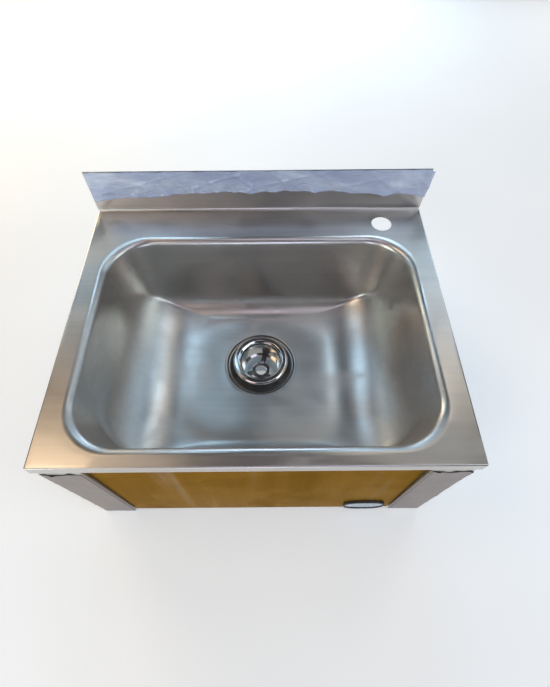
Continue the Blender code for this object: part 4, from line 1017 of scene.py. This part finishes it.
def side_fasteners(prefix, side):
    """Nuts on the weld studs, and one hinge: its hex-headed pin, flanged bush and lock nut."""
    labels = ("valve_rail_nut_low", "valve_rail_nut_high", "top_rail_nut", "bottom_rail_nut")
    for label, (y, z, axis) in zip(labels, STUDS):
        if axis == "X":
            centre, span = (side * (SIDE_X - 2 * SHEET - 2 * GAP), y, z), (0, -side * NUT_H)
        else:
            centre, span = (side * (SIDE_X - STUD_IN), BACK - 2 * SHEET - 2 * GAP, z), (0, -NUT_H)
        nut(f"{prefix}_{label}_turned", f"{prefix}_{label}", axis, centre, span, NUT_AF, NUT_BORE, ZINC,
            "zinc_steel")
    place = (0, HINGE_Y, HINGE_Z)
    seat, stub = SIDE_X - FLANGE_W + SHEET + GAP, PANEL_HALF - SHEET - 0.009
    reach = NUT_AF / 2 * HEX
    head = solid([(seat, reach), (seat + 0.0032, reach), (seat + NUT_H, 0.0038)], 0.00015, 0.001)
    shank = solid([(stub, 0.0021), (stub + 0.0005, 0.0025), (seat + 0.0004, 0.0025)], 0.0001, 0.0002)
    for line in (head, shank):
        line[:, 0] *= side
    grip = sorted((side * (stub + 0.0006), side * (stub + 0.0075)))
    ends = sorted((side * seat, side * (seat + NUT_H)))
    bolt([(head, {"flats": (6, NUT_AF / 2, ends[0], ends[1])}),
          (shank, {"thread": (0.0008, 0.0003, grip[0], grip[1], 0.002)})], "X", place, ZINC,
         f"{prefix}_hinge_bolt", f"{prefix}_hinge_pin", "body")
    flange, barrel = PANEL_HALF + GAP, PANEL_HALF - SHEET - 0.0015
    profile = closed_profile([(barrel, 0.0041), (flange, 0.0041), (flange, 0.0065), (flange + 0.0008, 0.0065),
                              (flange + 0.0008, 0.0028), (barrel, 0.0028)], 0.0002)
    profile[:, 0] *= side
    piece(f"{prefix}_hinge_sleeve", [lathe(profile, "X", place, 64)], NYLON, "knee_panel",
          [f"{prefix}_hinge_bush"], wrap=True, sharp=50)
    face = barrel - GAP
    nut(f"{prefix}_hinge_locknut", f"{prefix}_hinge_nut", "X", place, (side * face, side * (face - 0.005)),
        NUT_AF, NUT_BORE, ZINC, "zinc_steel")
    low, high = sorted((side * (PANEL_HALF + GAP), side * (PANEL_HALF + 0.0065)))
    back = PANEL_Y + PANEL_DEEP - SHEET - 2 * GAP
    pad = rounded_slab((low, back - 0.0018, 0.023), (high, back, 0.037), 0.0012, 0.0005)
    piece(f"{prefix}_stop_pad", [lean(pad)], RUBBER, "knee_panel", [f"{prefix}_stop_buffer"],
          wrap=True)


PIPE_R, PIPE_BORE = 0.0105, 0.006
STEM_R, BARREL_R, COLLAR_R = 0.012, 0.017, 0.013
SPRING_AT, SPRING_END, SPRING_R, WIRE_R, COILS = 0.0163, 0.0507, 0.0070, 0.0008, 5
MIXER_AT, MIXER_R = 0.097, 0.016
FINE_PITCH, PIPE_PITCH = 0.0012, 0.0013


def push_valve():
    """The self-closing valve: its body, lock nut, button, seal and return spring.

    Distances run back along +Y from the valve rail's front.
    """
    centre = (0, RAIL_Y, VALVE_Z)
    shoulder = SHEET + GAP
    barrel = closed_profile([(-0.009, STEM_R), (shoulder, STEM_R), (shoulder, BARREL_R), (0.012, BARREL_R),
                             (0.0126, 0.0164), (0.0134, 0.0164), (0.014, BARREL_R), (0.054, BARREL_R),
                             (0.056, 0.0148), (0.056, 0.0150), (0.062, 0.0150), (0.062, PIPE_R),
                             (0.075, PIPE_R), (0.075, PIPE_BORE), (0.051, PIPE_BORE), (0.051, 0.012),
                             (0.007, 0.012), (0.007, 0.0063), (-0.009, 0.0063)], 0.0003, 3, 0.0004)
    shell = lathe(barrel, "Y", centre, 96, flats=(6, 0.013, 0.0561, 0.0621),
                  thread=(FINE_PITCH, 0.0005, -0.0085, 0.0008, 0.0110))
    branch = closed_profile([(0.0145, PIPE_R), (0.040, PIPE_R), (0.040, PIPE_BORE), (0.0145, PIPE_BORE)],
                            0.0003, 3, 0.0004)
    outlet = lathe(branch, "X", (0, RAIL_Y + 0.029, VALVE_Z), 72,
                   thread=(PIPE_PITCH, 0.0006, 0.022, 0.0385, 0.0095))
    piece("push_valve", [shell, outlet], CHROME, "body", ["valve_body"], wrap=True, sharp=35)
    nut("push_valve_locknut", "valve_locknut", "Y", centre, (-0.0065, -0.0005), 0.032, 0.0123, BRASS,
        "brass", thread=FINE_PITCH)

    tipped = (HINGE_Z - VALVE_Z) * math.tan(LEAN)
    head = STRIKER_Y - RAIL_Y - tipped + GAP
    profile = [(head, 0.0058), (head + 0.0016, COLLAR_R), (head + 0.0045, COLLAR_R), (head + 0.0045, 0.0060),
               (0.011, 0.0060), (0.011, 0.0112), (0.016, 0.0112), (0.016, 0.0030), (0.037, 0.0030)]
    bolt([(solid(profile, 0.0004, 0.002), {})], "Y", centre, CHROME, "push_valve_button", "valve_button",
         "button")
    ring = closed_profile([(0.0076, 0.0105), (0.0107, 0.0105), (0.0107, 0.0063), (0.0076, 0.0063)], 0.0012, 5)
    piece("button_ring", [lathe(ring, "Y", centre, 64)], RUBBER, "button", ["button_seal"],
          wrap=True)
    return_spring()


def return_spring():
    """The valve's spring: a wire round a helix, each end closed to a point.

    x = (R + w cos a) cos t, z = (R + w cos a) sin t and y = low + (high - low) s + w sin a, with t
    going through five full turns as s goes from 0 to 1.
    """
    s, a = np.linspace(0, 1, 320)[:, None], 2 * np.pi * np.arange(10)[None] / 10
    low, high = SPRING_AT + WIRE_R + GAP, SPRING_END - WIRE_R - GAP
    swing = 2 * np.pi * COILS * s
    r = SPRING_R + WIRE_R * np.cos(a)
    coil = np.stack([r * np.cos(swing), RAIL_Y + low + (high - low) * s + WIRE_R * np.sin(a),
                     VALVE_Z + r * np.sin(swing)], axis=-1)
    tips = [coil[row].mean(axis=0)[None, None].repeat(10, 1) for row in (0, -1)]
    made = piece("return_spring", [np.concatenate([tips[0], coil, tips[1]])], ZINC, "body",
                 ["valve_spring"], wrap=True)
    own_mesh(made)


def mixing_valve():
    """The mixing valve: three crossing bodies, a union, two inlets, and its stem with a handwheel."""
    middle = (0, RAIL_Y + MIXER_AT, VALVE_Z)
    joint = 0.0753 - MIXER_AT
    front = closed_profile([(joint, PIPE_R), (-0.018, PIPE_R), (-0.018, MIXER_R), (0.016, MIXER_R),
                            (0.018, 0.0140), (0.018, PIPE_BORE), (0.006, PIPE_BORE), (joint, PIPE_BORE)],
                           0.0006, 3, 0.002)
    arms = closed_profile([(-0.038, PIPE_R), (0.038, PIPE_R), (0.038, PIPE_BORE), (-0.038, PIPE_BORE)],
                          0.0004, 3, 0.0012)
    boss = closed_profile([(-0.026, 0.0100), (0, 0.0100), (0, 0.0045), (-0.026, 0.0045)], 0.0005, 3, 0.002)
    shells = [lathe(front, "Y", middle, 96), lathe(arms, "X", middle, 72), lathe(boss, "Z", middle, 72)]
    piece("mixing_valve", shells, CHROME, "body", ["mixer_body"], wrap=True, sharp=40)
    nut("union", "union_nut", "Y", middle, (joint - 0.0075, joint + 0.0025), 0.028, 0.0108, BRASS, "brass")
    for label, side in (("hot", -1), ("cold", 1)):
        line = closed_profile([(0.031, 0.01559), (0.0455, 0.01559), (0.046, 0.0135), (0.046, PIPE_R),
                               (0.0612, PIPE_R), (0.062, 0.0097), (0.062, PIPE_BORE), (0.0385, PIPE_BORE),
                               (0.0385, 0.0108), (0.031, 0.0108)], 0.0003, 3, 0.0004)
        line[:, 0] *= side
        flats = sorted((side * 0.0309, side * 0.0461))
        grip = sorted((side * 0.047, side * 0.0612))
        shell = lathe(line, "X", middle, 96, flats=(6, 0.0135, *flats),
                      thread=(PIPE_PITCH, 0.0006, *grip, 0.0095))
        piece(f"{label}_inlet", [shell], BRASS, "body", [f"{label}_check_valve"], wrap=True,
              sharp=35)
    bolt([(solid([(-0.033, 0.0035), (-0.0265, 0.0035), (-0.0265, 0.0041), (0.003, 0.0041)], 0.0003), {})],
         "Z", middle, BRASS, "mixer_stem", "mixer_spindle", "mixer_knob")
    grip = closed_profile([(-0.042, 0.0118), (-0.0405, 0.0138), (-0.029, 0.0140), (-0.0275, 0.0120),
                           (-0.0275, 0.0038), (-0.042, 0.0038)], 0.0012, 4, 0.0008)
    wheel = lathe(grip, "Z", middle, 144, lobes=(18, 0.0012, -0.041, -0.0285, 0.0105))
    piece("mixer_handwheel", [wheel], BLACK, "mixer_knob", ["temperature_knob"], wrap=True,
          sharp=50)


def striker_pad():
    """The block on the back of the knee panel that meets the valve's button."""
    low = (-0.016, PANEL_Y + SHEET + GAP, VALVE_Z - 0.016)
    high = (0.016, STRIKER_Y, VALVE_Z + 0.016)
    piece("striker_pad", [lean(rounded_slab(low, high, 0.003, 0.0012))], BLACK, "knee_panel",
          ["striker_block"], wrap=True)


# ---- making it -----------------------------------------------------------------------------

camera()
floor()
studio()

STEEL_TOP = satin_steel("basin_steel", (0.60, 0.575, 0.545), (14, 900, 900), 0.30)
# Knee panel and front rail: the golden brown base colour and specular tint are painted reflection of warm
# surroundings on plain brushed steel, not the steel's own colour.
PANEL_PAINTED_REFLECTION = satin_steel("panel_steel_painted_reflection", (0.20, 0.115, 0.035), (900, 900, 10), 0.28, marks=False, painted_reflection_bands=0.45,
                          Specular_Tint=(0.85, 0.62, 0.36, 1))
SIDE_STEEL = satin_steel("side_steel", (0.55, 0.53, 0.51), (900, 10, 900), 0.32, marks=False)


def zinc():
    """Zinc-plated steel: a faint spangle, dull and bright grains side by side."""
    f = Finish("zinc_plate", metallic=1.0)
    cell = f.node("ShaderNodeTexVoronoi", Vector=f.stretched((260,) * 3), Scale=1.0)
    grain = f.node("ShaderNodeSeparateColor", Color=cell.outputs["Color"]).outputs[0]
    f.colour(f.ramp(grain, [(0.0, (0.50, 0.52, 0.53)), (1.0, (0.66, 0.67, 0.66))]))
    f.rough(f.sum(f.sum(grain, 0.18, "MULTIPLY"), f.ramp(f.noise(40), [(0.3, 0.28), (0.7, 0.40)])))
    f.bump(f.noise(900, 3), 0.00001)
    return f.made


def brass():
    """Bare brass, browner in patches."""
    f = Finish("brass_bar", metallic=1.0)
    age = f.noise(55, 5, 0.6, distortion=0.5)
    f.colour(f.ramp(age, [(0.35, (0.74, 0.58, 0.30)), (0.65, (0.52, 0.37, 0.17))]))
    f.rough(f.ramp(age, [(0.3, 0.24), (0.7, 0.44)]))
    f.bump(f.noise((2200, 2200, 2200), 2), 0.000008)
    return f.made


def chrome():
    """Bright chrome with water spots, wiping haze and hair scratches."""
    f = Finish("bright_chrome", metallic=1.0)
    haze = f.noise(60, 5, 0.6, distortion=0.4)
    f.colour(f.ramp(haze, [(0.3, (0.64, 0.63, 0.62)), (0.7, (0.55, 0.54, 0.52))]))
    spot = f.node("ShaderNodeTexVoronoi", Vector=f.stretched((230,) * 3), Scale=1.0)
    mark = f.ramp(spot.outputs["Distance"], [(0.10, 1.0), (0.16, 0.0)])
    level = f.ramp(haze, [(0.35, 0.10), (0.7, 0.20)])
    f.rough(f.sum(level, f.sum(mark, 0.14, "MULTIPLY")))
    f.bump(f.noise((700, 700, 90), 2, 0.4), 0.000006)
    return f.made


def rubber():
    """Black rubber, a little shiny, with mould dust in it."""
    f = Finish("black_seal", Specular_IOR_Level=0.55)
    bloom = f.noise(70, 5, 0.65)
    f.colour(f.ramp(bloom, [(0.4, (0.012, 0.012, 0.014)), (0.75, (0.035, 0.035, 0.038))]))
    f.rough(f.ramp(bloom, [(0.3, 0.22), (0.7, 0.42)]))
    f.bump(f.noise(1300, 3), 0.00002)
    return f.made


def lavender_film():
    """Pale blue-violet protective film: glossy, milky, with fine stretch wrinkles."""
    f = Finish("lavender_film", Coat_Weight=0.9, Coat_Roughness=0.08)
    milk = f.noise((9, 30, 22), 4, 0.55, distortion=0.8)
    f.colour(f.ramp(milk, [(0.3, (0.40, 0.44, 0.64)), (0.55, (0.52, 0.57, 0.75)), (0.8, (0.84, 0.89, 1.0))]))
    f.rough(f.ramp(milk, [(0.3, 0.10), (0.7, 0.22)]))
    wrinkle = f.noise((60, 60, 170), 4, 0.6, turn=(0, 0.5, 0), distortion=1.2)
    f.bump(wrinkle, 0.0026, 1.0)
    return f.made


def painted_reflection_film():
    """Clear film over brushed steel, a soft metallic grey with its own gloss; its pinkish grey-brown cast, in
    base colour and specular tint, is painted reflection of warm surroundings.
    """
    f = Finish("painted_reflection_film", metallic=0.6, Coat_Weight=0.12, Coat_Roughness=0.15,
               Specular_Tint=(0.50, 0.44, 0.42, 1))
    cloud = f.noise((14, 14, 9), 4, 0.6, distortion=0.6)
    grain = f.noise((700, 700, 8), 2, 0.5)
    # Painted reflection: the pinkish grey-brown tone stands in for warm surroundings mirrored in the film and
    # the steel beneath.
    tone = f.ramp(cloud, [(0.3, (0.27, 0.235, 0.215)), (0.7, (0.38, 0.34, 0.33))])
    tone = f.mix(0.35, tone, f.ramp(grain, [(0.3, (0.22, 0.19, 0.17)), (0.7, (0.42, 0.38, 0.37))]))
    f.colour(tone)
    f.rough(f.ramp(cloud, [(0.3, 0.26), (0.7, 0.38)]))
    f.bump(f.noise((90, 90, 30), 5, 0.65, distortion=1.0), 0.0002, 0.6)
    return f.made


def tail_plastic():
    """Milky blue-white plastic, moulded, which lets light in."""
    f = Finish("milky_plastic", Roughness=0.35, Subsurface_Weight=0.4, Subsurface_Scale=0.01)
    cloud = f.noise(30, 3)
    f.colour(f.ramp(cloud, [(0.3, (0.62, 0.76, 0.84)), (0.7, (0.74, 0.85, 0.90))]))
    f.rough(f.ramp(cloud, [(0.3, 0.30), (0.7, 0.42)]))
    f.bump(f.noise(500, 3), 0.00002)
    return f.made


def nylon():
    """Off-white moulded nylon."""
    f = Finish("nylon_moulding", Subsurface_Weight=0.1, Subsurface_Scale=0.002)
    cloud = f.noise(90, 4)
    f.colour(f.ramp(cloud, [(0.3, (0.70, 0.68, 0.62)), (0.7, (0.78, 0.77, 0.71))]))
    f.rough(f.ramp(cloud, [(0.3, 0.40), (0.7, 0.52)]))
    f.bump(f.noise(1500, 3), 0.00001)
    return f.made


def black_plastic(name="black_moulding", shine=0.42):
    """Black moulded plastic with a fine spark-eroded texture."""
    f = Finish(name)
    grain = f.noise(1100, 3, 0.6)
    f.colour(f.ramp(f.noise(60, 4), [(0.35, (0.016, 0.017, 0.020)), (0.7, (0.034, 0.035, 0.040))]))
    f.rough(f.ramp(grain, [(0.3, shine - 0.06), (0.7, shine + 0.08)]))
    f.bump(grain, 0.00003)
    return f.made


def badge_blue():
    """Blue resin face; its two raised waves are paler."""
    f = Finish("badge_resin", Coat_Weight=1.0, Coat_Roughness=0.05)
    x = f.sum(f.part("X"), BADGE_X, "SUBTRACT")
    z = f.sum(f.part("Z"), BADGE_Z, "SUBTRACT")
    swing = f.sum(f.sum(f.sum(x, 1 / 0.0062, "MULTIPLY"), 0.0, "SINE"), 0.003, "MULTIPLY")
    pale = None
    for rise in (-0.004, 0.003):
        line = f.near(f.sum(f.sum(z, rise, "SUBTRACT"), swing, "SUBTRACT"), 0.0, 0.0017)
        pale = line if pale is None else f.sum(pale, line, "MAXIMUM")
    cloud = f.ramp(f.noise(120, 3), [(0.3, (0.10, 0.19, 0.29)), (0.7, (0.15, 0.25, 0.36))])
    f.colour(f.mix(pale, cloud, (0.50, 0.62, 0.72)))
    f.rough(f.ramp(f.noise(200, 3), [(0.3, 0.18), (0.7, 0.30)]))
    f.bump(f.noise(300, 2), 0.00002)
    return f.made


ZINC, BRASS, CHROME, RUBBER = zinc(), brass(), chrome(), rubber()
VIOLET, SIDE_FILM_PAINTED_REFLECTION, PLASTIC = lavender_film(), painted_reflection_film(), tail_plastic()
NYLON, BLACK, BLUE = nylon(), black_plastic(), badge_blue()

basin_top(STEEL_TOP)
splash_film(VIOLET)
for prefix, side in (("left", -1), ("right", 1)):
    steel = side_panel(prefix, side, SIDE_STEEL)
    panel_film(prefix, side, SIDE_FILM_PAINTED_REFLECTION)
front_rail(PANEL_PAINTED_REFLECTION)
knee_panel(PANEL_PAINTED_REFLECTION)
push_badge(BLACK, BLUE)
waste(CHROME, RUBBER, PLASTIC)
stud_x, rail_half, back = SIDE_X - STUD_IN, SIDE_X - SHEET - GAP, BACK - SHEET - GAP
for label, height in (("top_rail", 0.185), ("bottom_rail", 0.035)):
    screws = [("Y", x, back, height, 0.0045) for x in (-0.150, 0.150)]
    studs = [("Y", x, back, height, NUT_BORE) for x in (-stud_x, stud_x)]
    channel(label, rail_half, back, "-Y", height - 0.020, height + 0.020, 0.010, ZINC, screws + studs)
tabs = [("X", side * rail_half, y, z, NUT_BORE) for side in (-1, 1) for y, z, axis in STUDS if axis == "X"]
channel("valve_rail", rail_half, RAIL_Y, "+Y", VALVE_Z - 0.030, VALVE_Z + 0.030, 0.014, ZINC,
        [("Y", 0, RAIL_Y, VALVE_Z, 0.0123)] + tabs)

for prefix, side in (("left", -1), ("right", 1)):
    side_fasteners(prefix, side)
push_valve()
mixing_valve()
striker_pad()
